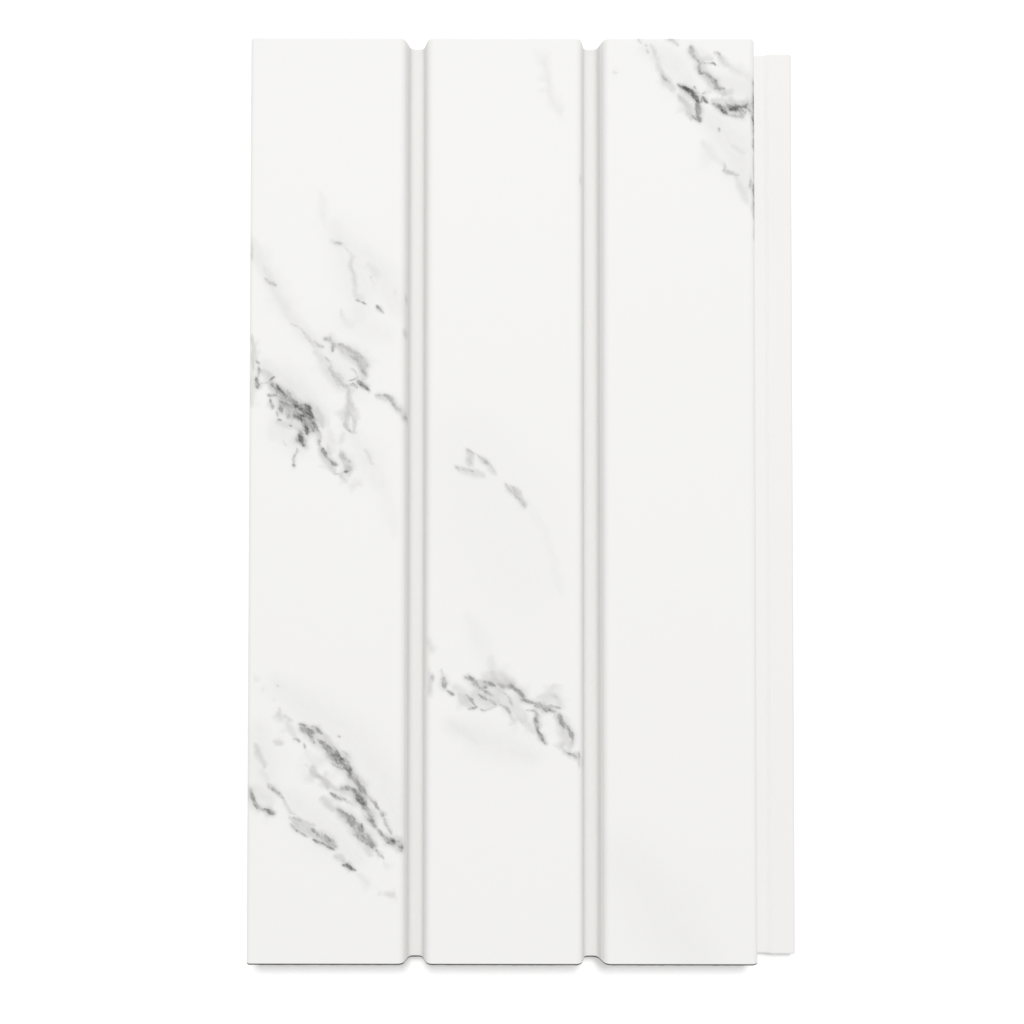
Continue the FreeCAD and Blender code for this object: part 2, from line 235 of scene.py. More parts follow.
DARK_CLUSTER = (
    (SOFT, 0.09, 2, (1.3, 87.4), (1.7, 90.8)),
    (SOFT, 0.1, 1.1, (0.6, 90.4), (1.2, 93.8)),
    (SOFT, 0.06, 2, (0.9, 96), (0.8, 100), (0.7, 103.6)),
    (VEIN, 0.27, 0.6, (1.8, 91.6), (2.8, 92.5)),
    (VEIN, 0.3, 0.9, (2.6, 93.2), (2.5, 95.7)),
    (VEIN, 0.4, 1.2, (2.2, 96.4), (2.5, 97.9), (2.1, 99.1)),
    (SOFT, 0.09, 3, (3.4, 94.2), (5.2, 95.4), (6.4, 98.2)),
    (VEIN, 0.2, 0.6, (3.2, 97.7), (5.8, 97.6)),
    (CORE, 0.5, 1, (6, 97.2), (6.9, 96.2)),
    (SOFT, 0.13, 5, (6.6, 98.6), (10.4, 102), (14.2, 105.4), (17.8, 109.4)),
    (VEIN, 0.32, 2.6, (6.8, 98.6), (9.6, 100.8), (12.2, 103.2)),
    (VEIN, 0.32, 3.4, (9.4, 103.8), (12.6, 106.2), (15.4, 109)),
    (VEIN, 0.36, 3.4, (12.6, 103.4), (15.4, 105.4), (17.6, 108.4), (18.4, 110.8)),
    (VEIN, 0.36, 3, (15.4, 108.4), (16.2, 111.4)),
    (CORE, 0.5, 0.9, (7.8, 98.2), (9.2, 100.1), (10.6, 102)),
    (CORE, 0.52, 0.8, (12.8, 104), (14.6, 105.2), (16.6, 106.4)),
    (CORE, 0.56, 1.1, (15.2, 103.8), (16.8, 105.2), (18.1, 107.2)),
    (CORE, 0.5, 1.2, (15, 107), (17, 107.6), (18.2, 109.4)),
    (CORE, 0.46, 1.1, (12.2, 106.6), (13.6, 107.8), (15, 108.6)),
    (CORE, 0.5, 1.1, (15.8, 108.6), (16.2, 110.2), (16, 112)),
    (CORE, 0.46, 0.9, (17.8, 108.4), (18.6, 109.8), (19.4, 111.4)),
    (VEIN, 0.34, 0.8, (5.2, 101.2), (7.6, 101.2)),
    (VEIN, 0.36, 1.2, (6, 102.4), (6.7, 105)),
    (VEIN, 0.36, 2.2, (9, 103.4), (9.2, 105.8)),
    (CORE, 0.4, 0.7, (8, 106.3), (7.9, 107.1)),
    (VEIN, 0.28, 0.9, (8.1, 108), (8.8, 108)),
    (VEIN, 0.3, 0.8, (10.4, 106.2), (10.9, 107.7)),
    (CORE, 0.45, 0.7, (11.3, 109.6), (12.1, 110.1)),
    (SOFT, 0.07, 2.5, (8, 108.6), (11, 109.6), (13.6, 110.8)),
    (VEIN, 0.42, 2.2, (14.2, 111.6), (14.7, 113.6), (15.5, 115.2)),
    (CORE, 0.48, 1, (14, 111.8), (14.6, 113.6), (15.5, 115.4)),
    (VEIN, 0.2, 0.8, (13.3, 116.4), (13, 118.2), (12.6, 120.4)),
    (CORE, 0.42, 1, (12.3, 120.9), (12.8, 121.3)),
    (SOFT, 0.09, 2.4, (18.8, 105), (20.2, 107.6), (20.8, 110)),
    (SOFT, 0.04, 1.4, (22, 107.6), (22, 110.4)),
    (VEIN, 0.19, 1.5, (19, 110.6), (19.6, 113), (20, 115)),
    (CORE, 0.35, 0.8, (19.8, 113.8), (20.2, 114.5)),
    (SOFT, 0.04, 4.5, (22.6, 112), (23.4, 116.6)),
    (VEIN, 0.4, 1.8, (20.8, 116.4), (21.6, 118.4)),
    (VEIN, 0.4, 1, (21.8, 118.6), (23, 120), (24.6, 120.9)),
    (SOFT, 0.1, 2.2, (20, 116), (21.6, 119.4), (24.2, 122.6)),
    (SOFT, 0.08, 1.2, (22.2, 115.2), (22.8, 118)),
    (VEIN, 0.16, 2.6, (26.1, 117.6), (27.4, 119.6), (27.6, 121.6), (27, 122.8)),
    (CORE, 0.38, 0.9, (26.8, 122.8), (27.6, 122.7)),
    (SOFT, 0.08, 3.2, (26.6, 118), (28.2, 121), (28, 123.4)),
    (VEIN, 0.28, 0.7, (24, 123.1), (25.3, 123.5)),
    (SOFT, 0.08, 2.4, (26, 123.6), (27, 125.4)),
    (SOFT, 0.04, 1.1, (28.2, 126.4), (31.6, 126.8)),
    (VEIN, 0.12, 0.6, (9.6, 113.8), (10.1, 115.4)),
    (SOFT, 0.025, 4, (6.2, 110.4), (6.6, 113.6)),
)

SLANTING_VEINS = (
    (VEIN, 0.2, 0.9, (8, 183), (8.4, 183.3)),
    (SOFT, 0.04, 1, (4.3, 183.4), (4.3, 184.8)),
    (SOFT, 0.06, 0.9, (6.5, 186.7), (7, 186.9)),
    (SOFT, 0.03, 1, (1.2, 181.3), (3, 182)),
    (SOFT, 0.09, 1.1, (8.5, 189.4), (9, 191), (9.8, 191.9), (11.2, 192.3), (12.2, 193.2)),
    (SOFT, 0.06, 2.2, (10.8, 193.5), (12, 195.5), (12.8, 197.4)),
    (VEIN, 0.18, 1, (12.6, 198), (14, 198.5)),
    (CORE, 0.36, 0.8, (14, 198.8), (14.5, 199.2)),
    (VEIN, 0.28, 0.7, (15.8, 199.8), (16, 200.6)),
    (SOFT, 0.03, 2.2, (16.5, 201.5), (18, 204.5), (18.8, 206)),
    (VEIN, 0.34, 1, (14.5, 194), (16.6, 194.3)),
    (VEIN, 0.38, 2.2, (15.3, 195.2), (17, 196.2), (18.6, 196)),
    (VEIN, 0.4, 1.4, (18.1, 194.6), (19.7, 195.8), (20.8, 196.6)),
    (VEIN, 0.28, 1.5, (17.2, 197), (18.4, 198.9)),
    (VEIN, 0.36, 1.3, (19.6, 198.1), (21.2, 199.4)),
    (CORE, 0.4, 1.1, (21.2, 198.8), (21.8, 199.4)),
    (SOFT, 0.09, 2, (21.5, 197), (23.5, 199.6)),
    (VEIN, 0.38, 2.6, (21.6, 200.2), (23.5, 201.8), (25.5, 203)),
    (VEIN, 0.4, 2.9, (24.2, 203.4), (26.6, 204.8), (28.6, 206.8)),
    (VEIN, 0.38, 2, (28.5, 206.8), (29.2, 208.6), (30.4, 210.2)),
    (CORE, 0.45, 1.6, (23.6, 202.4), (25.4, 203.4), (26.6, 203.8)),
    (CORE, 0.42, 1.1, (26.4, 204.8), (28.2, 206.4), (29.2, 208)),
    (VEIN, 0.28, 0.8, (26.3, 201.3), (27.8, 202.8)),
    (VEIN, 0.26, 0.7, (24.9, 197.4), (25.7, 197.6)),
    (VEIN, 0.3, 0.8, (23.5, 204.8), (26, 206.8)),
    (SOFT, 0.09, 3.6, (16, 195.6), (22.6, 200.8), (28.8, 207.4), (32.4, 213.2)),
    (VEIN, 0.36, 2.2, (30.3, 210.3), (31.8, 212), (33.2, 214)),
    (VEIN, 0.4, 2.7, (30, 213), (31.5, 215), (33, 216.5)),
    (CORE, 0.42, 1.2, (30, 213.4), (31.4, 215), (32.6, 216.6)),
    (VEIN, 0.38, 1.9, (26.5, 211.9), (28, 212.2), (29.2, 212.6)),
    (VEIN, 0.36, 1.2, (23.3, 213.3), (25, 214.5), (27.2, 215.3)),
    (SOFT, 0.09, 1, (27, 215.7), (29.4, 216.6)),
    (SOFT, 0.09, 3.8, (26.6, 212.8), (30, 213.2), (33.2, 216.4)),
    (VEIN, 0.38, 1.8, (32.2, 217), (33.8, 218.8), (34.8, 220.8), (35.8, 223)),
    (SOFT, 0.08, 3, (32.6, 216.8), (34.8, 220.4), (35.8, 222.6)),
    (VEIN, 0.26, 0.9, (33.5, 214), (35, 215.6), (36.4, 216.8)),
    (CORE, 0.36, 1.2, (36.2, 216.9), (36.6, 217.6)),
    (CORE, 0.34, 1.4, (37.2, 218.5), (37.8, 219.8)),
    (SOFT, 0.07, 2, (37, 218), (38.8, 219.6)),
    (VEIN, 0.24, 1, (38.2, 220.6), (39.4, 222.6), (40.6, 225)),
    (VEIN, 0.34, 0.9, (35.9, 223.4), (37, 224.6), (38, 225.4)),
    (VEIN, 0.38, 1.8, (38.4, 225.6), (39.8, 227), (40.8, 227.8)),
    (VEIN, 0.38, 1.5, (40.8, 226.4), (42.6, 226.8)),
    (VEIN, 0.38, 1.7, (41.2, 227.8), (43, 228.6)),
    (CORE, 0.42, 1, (40.4, 226.8), (42.4, 227.6), (43.2, 228.4)),
    (SOFT, 0.08, 3, (38.6, 225.4), (41, 227.4), (43.4, 229.6)),
    (SOFT, 0.12, 2.6, (17.8, 206.2), (18.6, 208), (20, 208.6)),
    (SOFT, 0.13, 2.8, (20.6, 209), (22, 210.8), (22.6, 211.6)),
    (SOFT, 0.09, 1.8, (23.4, 211.6), (25.4, 212.3)),
    (SOFT, 0.035, 0.8, (15, 205.2), (16.6, 205.6)),
    (SOFT, 0.08, 3, (20.8, 215), (22.3, 216), (24, 218)),
    (VEIN, 0.36, 1.7, (25, 217.8), (26.6, 219.2), (28.6, 220.4), (30.2, 222), (32.4, 223.8)),
    (CORE, 0.38, 0.9, (31.8, 222), (31.9, 222.8)),
    (VEIN, 0.3, 1.8, (28, 221.6), (30.6, 224), (32.4, 226.4)),
    (VEIN, 0.36, 2.5, (31, 224.6), (33.4, 226.6), (35, 228.6)),
    (VEIN, 0.3, 1.2, (33.2, 224.6), (34.6, 226.6), (36.2, 228.4)),
    (SOFT, 0.09, 3.4, (25.6, 218.6), (29.6, 222.2), (33, 226), (35.4, 229)),
    (SOFT, 0.08, 1.8, (32.8, 228.8), (34.8, 231)),
    (VEIN, 0.3, 0.9, (36.4, 229.4), (37, 230.6), (37.8, 231.6)),
    (SOFT, 0.04, 0.8, (37.8, 233), (39, 233.6)),
    (SOFT, 0.09, 2, (1.8, 200), (2.6, 202), (4.2, 204.4), (4.6, 206)),
    (SOFT, 0.04, 3, (4, 207), (5.2, 210)),
    (SOFT, 0.08, 2.4, (7.5, 199), (9.8, 199.3)),
    (VEIN, 0.26, 1.1, (5.6, 210.9), (7.2, 212), (8.6, 213.6), (9.8, 215)),
    (SOFT, 0.08, 1, (9.8, 215), (10.8, 217), (11.8, 218.8), (13.2, 219.4)),
    (VEIN, 0.36, 1.3, (0.2, 211.6), (0.6, 214), (1.6, 215.8), (3.4, 217.8), (4.6, 218.6)),
    (CORE, 0.55, 1.5, (4.6, 218.3), (5.6, 218.6), (7, 219)),
    (SOFT, 0.04, 5, (2, 212), (6, 216)),
    (SOFT, 0.06, 1.2, (4.6, 216.8), (6.4, 217.6)),
    (SOFT, 0.09, 1.6, (12, 220.8), (14, 220.6), (16, 221.6), (18.6, 222.6)),
    (VEIN, 0.18, 0.9, (13, 220.4), (15.5, 221.4)),
    (SOFT, 0.1, 3, (13, 221.8), (16, 223.4), (19, 225.4)),
    (CORE, 0.36, 1.1, (18, 223.6), (18.8, 224.4)),
    (VEIN, 0.32, 1.8, (19.6, 224.8), (21.5, 225.6), (23, 227), (24.6, 228.4)),
    (SOFT, 0.1, 2.6, (19.8, 225.4), (22.8, 227.2), (24.4, 228.6)),
    (VEIN, 0.24, 0.7, (11.8, 222.2), (13.4, 223.6), (15.4, 225), (16.8, 225.8)),
    (CORE, 0.32, 0.6, (13.2, 223.4), (13.8, 223.9)),
    (CORE, 0.42, 0.8, (18.2, 226.4), (19.6, 227), (21.4, 228), (22.6, 228.8), (24.2, 229.4)),
    (SOFT, 0.1, 2.4, (24.8, 231), (26, 231.4), (27, 232.6)),
    (CORE, 0.6, 1.2, (27, 233.8), (28.2, 233.9), (30, 235)),
    (SOFT, 0.035, 1.2, (30.4, 236.3), (31, 236.6)),
    (SOFT, 0.035, 1.2, (33.4, 238.6), (34.4, 238.8)),
    (SOFT, 0.05, 1.3, (36.9, 241.2), (37.4, 242.2)),
    (SOFT, 0.08, 2.6, (39.6, 241.8), (41.8, 242.2)),
)

FAINT_MARKS = (
    (SOFT, 0.1, 3.1, (62, 117.1), (62.3, 120.5)),
    (VEIN, 0.15, 0.6, (61.3, 116.1), (62.6, 117.1), (64.6, 118)),
    (VEIN, 0.19, 1.1, (64.3, 118), (66, 119.7), (67.4, 120.8)),
    (VEIN, 0.16, 0.6, (66.9, 120.2), (68.3, 121.4), (69.1, 122.8)),
    (SOFT, 0.08, 1.7, (64.6, 118.3), (67.4, 120.8), (69.4, 123.3)),
    (VEIN, 0.15, 1.1, (58.1, 121.5), (60.1, 121.9), (62.9, 122.8)),
    (SOFT, 0.07, 2.3, (58.4, 121.4), (62.3, 122.8), (66.3, 123.9)),
    (VEIN, 0.11, 0.6, (72.2, 126.2), (73.9, 128.1), (75.6, 130.1)),
    (VEIN, 0.14, 1.1, (73.7, 126.7), (75.6, 128.1), (77.1, 129.6)),
    (VEIN, 0.14, 1.3, (75.1, 130.1), (76.8, 131), (77.9, 132.7)),
    (SOFT, 0.08, 2.3, (72.5, 126.5), (75.4, 129.3), (77.9, 132.4)),
    (SOFT, 0.03, 1.4, (82.4, 6.4), (83.9, 10), (84.1, 14.8), (85.3, 18.2), (88.1, 22.2)),
    (SOFT, 0.07, 0.85, (93.3, 38.6), (93.5, 40.8)),
    (SOFT, 0.05, 1.1, (102.3, 10), (103.7, 10)),
)

BROAD_VEIN = (
    (SOFT, 0.07, 1.6, (51.1, 180.6), (51.1, 184)),
    (VEIN, 0.32, 1.1, (51, 179.7), (51.9, 180.9)),
    (CORE, 0.4, 0.9, (51, 184.5), (52, 184)),
    (SOFT, 0.07, 0.8, (54.3, 178.6), (54.8, 180.6)),
    (VEIN, 0.32, 1.8, (55, 181), (55.2, 183.6)),
    (SOFT, 0.08, 2.6, (54.8, 180.8), (55.2, 183.8)),
    (CORE, 0.45, 0.6, (55.8, 184.7), (56.7, 185.3), (57.8, 185.9)),
    (VEIN, 0.36, 1.4, (61, 180.9), (63.2, 181.1)),
    (VEIN, 0.32, 1.3, (62.8, 181.3), (64, 182.6), (65.4, 183.7), (67, 183.8)),
    (VEIN, 0.34, 1.3, (66.2, 181.8), (68, 182.8), (69.4, 183.3)),
    (SOFT, 0.1, 2.6, (68.6, 179.4), (69.8, 181.6)),
    (SOFT, 0.04, 4, (68.2, 175.6), (69, 179)),
    (SOFT, 0.11, 3, (64.4, 182), (69.6, 182.6), (74.6, 183)),
    (VEIN, 0.24, 2, (70.2, 182.6), (72.6, 183)),
    (VEIN, 0.34, 1.8, (72.4, 182.8), (74.6, 183.4)),
    (SOFT, 0.09, 2.4, (72, 181.4), (75, 182.6)),
    (VEIN, 0.36, 2.2, (75.4, 184), (76.5, 185.1), (77.2, 186.8)),
    (VEIN, 0.34, 0.8, (77.4, 187), (79.2, 187.5), (80.6, 188.1)),
    (VEIN, 0.36, 1.9, (81.2, 188.5), (83, 189), (85, 189.3)),
    (VEIN, 0.26, 0.7, (84.8, 188.3), (86.2, 189.1), (88, 189.6)),
    (CORE, 0.38, 1, (84.8, 189.6), (86.4, 190.4)),
    (VEIN, 0.36, 1.9, (87.6, 191.7), (88.5, 193.2), (89.8, 195.3)),
    (VEIN, 0.34, 1.6, (90, 195.8), (91.1, 197.3), (91.7, 198.1)),
    (SOFT, 0.11, 1.6, (91.4, 198.6), (90.8, 199.8)),
    (SOFT, 0.08, 1.6, (86.4, 191), (88, 194.6), (89.5, 198), (90.6, 201.4)),
    (SOFT, 0.1, 1.5, (88.3, 200.7), (89.6, 201.8), (92, 202.8), (93.2, 205)),
    (VEIN, 0.28, 0.8, (89.8, 201.8), (91.4, 202.3), (92.6, 203.2)),
    (CORE, 0.38, 0.9, (93, 202.8), (93.3, 204.4)),
    (VEIN, 0.24, 1.2, (94.7, 204.4), (95.4, 206.2)),
    (VEIN, 0.34, 1.2, (81.2, 190.6), (81.2, 193), (81.6, 196)),
    (SOFT, 0.1, 2.2, (81, 190), (81.4, 193.6), (81.8, 196.6)),
    (CORE, 0.45, 1.1, (81.8, 196.5), (82.6, 197.6), (83.5, 199)),
    (VEIN, 0.2, 0.7, (78.2, 190), (81, 190.2)),
    (SOFT, 0.06, 1.8, (85.8, 183), (85, 185), (82.6, 186.2), (80.6, 187)),
    (SOFT, 0.1, 1.4, (85, 185.7), (86.8, 186.3)),
    (SOFT, 0.05, 1.8, (87, 186.6), (88, 188.6)),
    (VEIN, 0.34, 0.8, (61, 185.5), (62.4, 187), (63.9, 188.5)),
    (VEIN, 0.32, 0.7, (64.4, 188.9), (63.2, 189.5), (61.9, 189.7)),
    (SOFT, 0.09, 3, (59.4, 185.6), (60.8, 187.4), (62.4, 188.8)),
    (SOFT, 0.09, 4.6, (64, 185.6), (67.4, 186.4), (70, 187.6)),
    (VEIN, 0.32, 1, (64.8, 185.7), (67, 187)),
    (VEIN, 0.3, 0.8, (66.4, 184.4), (69, 185.8)),
    (VEIN, 0.28, 1.6, (68, 187), (69.4, 188.3)),
    (VEIN, 0.24, 0.8, (65.4, 189.5), (66.8, 189.9)),
    (SOFT, 0.08, 0.9, (66.8, 189.7), (70.2, 188.9)),
    (VEIN, 0.2, 0.8, (70.6, 184), (72.4, 185.4), (73.8, 187.4), (74.9, 188.8)),
    (VEIN, 0.24, 1.1, (71, 188.5), (72.6, 189.5), (73.4, 190.5)),
    (SOFT, 0.08, 0.9, (73.2, 190.2), (74.6, 192.4), (76, 194.2)),
    (SOFT, 0.06, 4.6, (70, 185.6), (74, 188.4), (77.4, 192)),
    (SOFT, 0.05, 4.8, (58.6, 183.8), (63, 187), (68, 188)),
    (SOFT, 0.06, 4.8, (65, 184.4), (71, 185)),
    (SOFT, 0.07, 4.8, (66.8, 180.4), (71, 180.8), (74, 182)),
    (SOFT, 0.05, 4, (83, 186.6), (86.6, 186.4), (88, 189)),
    (SOFT, 0.06, 3.2, (87, 190.8), (89.4, 195.2), (91.4, 199.4)),
    (SOFT, 0.07, 2.4, (76, 192.4), (78.6, 193.6)),
    (SOFT, 0.06, 3, (77.4, 192.6), (80.8, 196.2)),
)

UPPER_CORNER = (
    (SOFT, 0.025, 7, (112, 3), (119, 7), (125, 14)),
    (SOFT, 0.03, 7, (133, 12), (140, 14), (142, 17)),
    (SOFT, 0.03, 9, (130, 23), (137, 30), (141, 42)),
    (VEIN, 0.16, 1, (109.9, 0), (110.2, 1.6)),
    (VEIN, 0.32, 0.6, (111.5, 2.2), (111.9, 2.7)),
    (VEIN, 0.26, 0.7, (112.2, 3.7), (112.5, 4.1)),
    (SOFT, 0.08, 1, (113.1, 2.2), (114.2, 4)),
    (SOFT, 0.07, 1.7, (114.2, 4), (115, 6.6), (115.6, 8.8), (117, 10.8)),
    (VEIN, 0.24, 0.9, (116.4, 10.4), (117.3, 11.8), (119, 13.1)),
    (SOFT, 0.09, 3, (116.2, 10), (117.6, 12.2), (119.4, 14.6)),
    (VEIN, 0.16, 1, (117.9, 0.3), (119.6, 0.6), (120.8, 2)),
    (VEIN, 0.26, 1.4, (124.6, 2.6), (125.1, 4.4), (126.3, 6.6)),
    (VEIN, 0.36, 1.1, (126.8, 7.4), (127.1, 9.6)),
    (VEIN, 0.36, 1.1, (127.3, 9.8), (128.7, 9.9), (130, 11.6)),
    (VEIN, 0.38, 2.2, (130.2, 11.4), (131.6, 12.8), (132.2, 13.8)),
    (VEIN, 0.4, 1.2, (131.2, 14.1), (132.6, 14), (134, 14.4)),
    (CORE, 0.35, 0.6, (129.2, 10.9), (130.9, 11.7), (132.3, 13.1)),
    (SOFT, 0.1, 3, (124.8, 3), (126.6, 6.6), (128, 9.6), (131.6, 13.4), (134, 15.6)),
    (VEIN, 0.2, 0.7, (127, 7.2), (129, 7.3), (130.8, 7.2)),
    (CORE, 0.42, 0.7, (130.8, 6.9), (131.4, 7.7)),
    (SOFT, 0.07, 2.4, (128.4, 6), (130.4, 5.6)),
    (VEIN, 0.22, 0.8, (131.4, 4.1), (132.8, 4.6)),
    (SOFT, 0.09, 2, (132.6, 4.8), (133.8, 6.8), (135, 8)),
    (SOFT, 0.05, 2.4, (135, 7.4), (137.6, 9.4), (141, 11.2)),
    (SOFT, 0.05, 2.2, (127.6, 15.8), (130, 15)),
    (SOFT, 0.09, 2.4, (133.6, 16), (136.2, 15.4)),
    (SOFT, 0.08, 1.5, (130.6, 17.8), (134, 17.8)),
    (CORE, 0.68, 1.1, (121, 13.3), (123, 14.3), (125.2, 16.1), (127, 17.8)),
    (VEIN, 0.4, 1.4, (121.4, 13.6), (124.4, 15.4), (127.2, 18)),
    (CORE, 0.45, 0.6, (125.5, 13.7), (125.8, 14.3)),
    (CORE, 0.45, 0.6, (128, 15.8), (128.6, 15.5)),
    (CORE, 0.5, 0.8, (127.6, 18), (128, 17), (129.6, 18.4)),
    (SOFT, 0.12, 2.1, (121.2, 16), (122.8, 18.2), (124.2, 20.4), (125, 22.8)),
    (VEIN, 0.4, 1.5, (126.3, 17.8), (126.6, 20.4), (127, 23.6)),
    (CORE, 0.4, 0.7, (125.3, 21.8), (126, 23.1), (127.1, 23.8)),
    (VEIN, 0.42, 1.2, (131, 18.8), (132.6, 19.6), (134.8, 21.4)),
    (VEIN, 0.42, 2, (132.8, 19.6), (136, 19.9), (139.6, 19.6), (142.6, 19.5)),
    (CORE, 0.72, 1.2, (133.4, 20.3), (135, 21.1)),
    (CORE, 0.52, 1, (135.4, 20.4), (138, 19.8), (140.6, 19.6)),
    (VEIN, 0.26, 1.3, (135.4, 21.8), (138.4, 22.2), (140.8, 21.2)),
    (SOFT, 0.09, 1.4, (134.6, 18), (138, 18.1), (141.6, 17.9)),
    (VEIN, 0.38, 0.8, (142.5, 11.2), (142.6, 13.6)),
    (SOFT, 0.12, 1, (142.7, 13.6), (142.7, 16.6)),
    (CORE, 0.55, 1, (142.7, 16.4), (142.8, 21.6), (142.8, 27)),
    (VEIN, 0.34, 0.8, (142.8, 27), (142.9, 32.2)),
    (SOFT, 0.13, 0.9, (142.9, 32), (142.9, 40.4)),
    (CORE, 0.52, 1, (142.9, 40.4), (143, 45), (143, 49.6)),
    (SOFT, 0.12, 0.9, (143, 49.6), (143, 56)),
    (VEIN, 0.28, 0.9, (132.5, 25.5), (132.7, 26.7)),
    (SOFT, 0.035, 3, (128, 29.6), (131, 33.4), (133, 35.6)),
    (SOFT, 0.05, 2, (136.4, 30.6), (139.4, 32.6)),
    (SOFT, 0.11, 1.3, (133.7, 35.8), (134.1, 37.2)),
    (VEIN, 0.16, 0.9, (133.6, 37.3), (135.6, 38), (138.2, 39)),
    (SOFT, 0.06, 2.2, (137.6, 39.4), (139, 42.8), (140.4, 46.6)),
    (VEIN, 0.2, 0.7, (141.6, 38.8), (141.4, 41.4), (142, 43.4)),
)

HAZES = (
    (SOFT, 0.018, 2.4, (19.8, 44), (20.6, 49), (21.3, 54)),
    (SOFT, 0.022, 9, (24, 54), (29, 62), (31, 71), (31, 79)),
    (SOFT, 0.022, 8, (33, 61), (38, 69), (42, 77)),
    (SOFT, 0.015, 10, (27, 80), (38, 84)),
    (SOFT, 0.03, 4, (0, 57), (4, 65), (9, 75), (14, 82), (20, 88)),
    (SOFT, 0.02, 12, (21, 87), (27, 93), (30, 99)),
    (SOFT, 0.035, 7, (4, 93), (12, 99), (20, 106)),
    (SOFT, 0.03, 8, (8, 109), (14, 116)),
    (SOFT, 0.02, 8, (29, 112), (37, 126)),
    (SOFT, 0.012, 4, (38, 126), (41, 140)),
    (SOFT, 0.01, 40, (62, 118), (76, 152)),
    (SOFT, 0.015, 3, (78, 131), (83, 139), (86, 148), (88, 157)),
    (SOFT, 0.015, 6, (62, 164), (66, 172), (68, 177)),
    (SOFT, 0.05, 2.6, (51, 171), (52, 173.6)),
    (SOFT, 0.02, 8, (57, 194), (66, 198), (80, 203)),
    (SOFT, 0.025, 3, (57, 194), (61, 195.6), (64.6, 199.6)),
    (SOFT, 0.018, 10, (8, 183), (20, 192), (30, 198), (38, 210), (42, 222)),
    (SOFT, 0.02, 10, (3, 196), (5, 215)),
    (SOFT, 0.02, 10, (12, 215), (30, 232)),
    (SOFT, 0.012, 22, (106, 232), (118, 248), (128, 264)),
)

MARKS = (
    HAZES + STREAKS_ABOVE_THE_RING + THE_RING + DARK_CLUSTER + SLANTING_VEINS
    + FAINT_MARKS + BROAD_VEIN + UPPER_CORNER
)


SEED = 7
LEAST = 1e-9

# How the film lies on the panel, in millimetres, and how it leans towards its ends.

FILM_SHIFT = 0.22
FILM_SAG = 0.95
FILM_LEAN = 0.0078
FILM_PIVOT = 40.0
FILM_LEAN_END = 80.0

# The waves that keep the marks' edges from looking ruled, in millimetres and shares of a length.

WAVER = 0.12
WAVER_WAVES = 6
WAVER_LENGTH = 5.0
WAVER_LENGTHS = (0.4, 1.4)

# How far a mark narrows at its tips, and the haze round a vein or a core.

TIP_SHARE = 0.55
HAZE_DARKNESS = 0.3
HAZE_WIDTH = 1.7
HAZE_EDGE = 2

# How the clouds fade, the wide ones more gently.

SOFT_SPREAD = 0.7
SOFT_EDGE = 3
WIDE_EDGE = 2
WIDE_CLOUD = 5.0

# How strongly the darkest mark of a place wins, and how many widths a mark can reach.

SOFT_BLEND = 3
DEPTH_FOCUS = 6
ROOM = 2.5


def waver(places):
    """The places, in millimetres, moved a little by smooth waves, so that no edge is ruled."""
    chance = np.random.default_rng(SEED)
    moved = places.copy()
    for _wave in range(WAVER_WAVES):
        heading = chance.uniform(0, 2 * math.pi)
        length = WAVER_LENGTH * chance.uniform(*WAVER_LENGTHS)
        along = places @ np.array([math.cos(heading), math.sin(heading)])
        push = chance.uniform(0, 2 * math.pi)
        swing = WAVER * np.sin(2 * math.pi * along / length + chance.uniform(0, 2 * math.pi))
        moved += swing[:, None] * np.array([math.cos(push), math.sin(push)])
    return moved


def from_route(places, route):
    """How far each place is from a route, how far along it lies, and the route's length."""
    nearest = np.full(len(places), np.inf)
    along = np.zeros(len(places))
    passed = 0.0
    for start, end in zip(route[:-1], route[1:]):
        step = end - start
        length = np.hypot(*step)
        share = np.clip((places - start) @ step / length**2, 0, 1)
        distance = np.hypot(*(places - start - share[:, None] * step).T)
        closer = distance < nearest
        nearest[closer] = distance[closer]
        along[closer] = passed + share[closer] * length
        passed += length
    return nearest, along, passed


def on_film(points):
    """A mark's route as the film lies: drawn down towards mid-length, and leaning at its ends."""
    across, down = np.array(points, dtype=float).T
    share = 1 - down * MM / (LENGTH / 2)
    lean = FILM_LEAN * (np.minimum(across, FILM_LEAN_END) - FILM_PIVOT)
    return np.stack([across + FILM_SHIFT + lean * share, down + FILM_SAG * (1 - share**2)], axis=1)


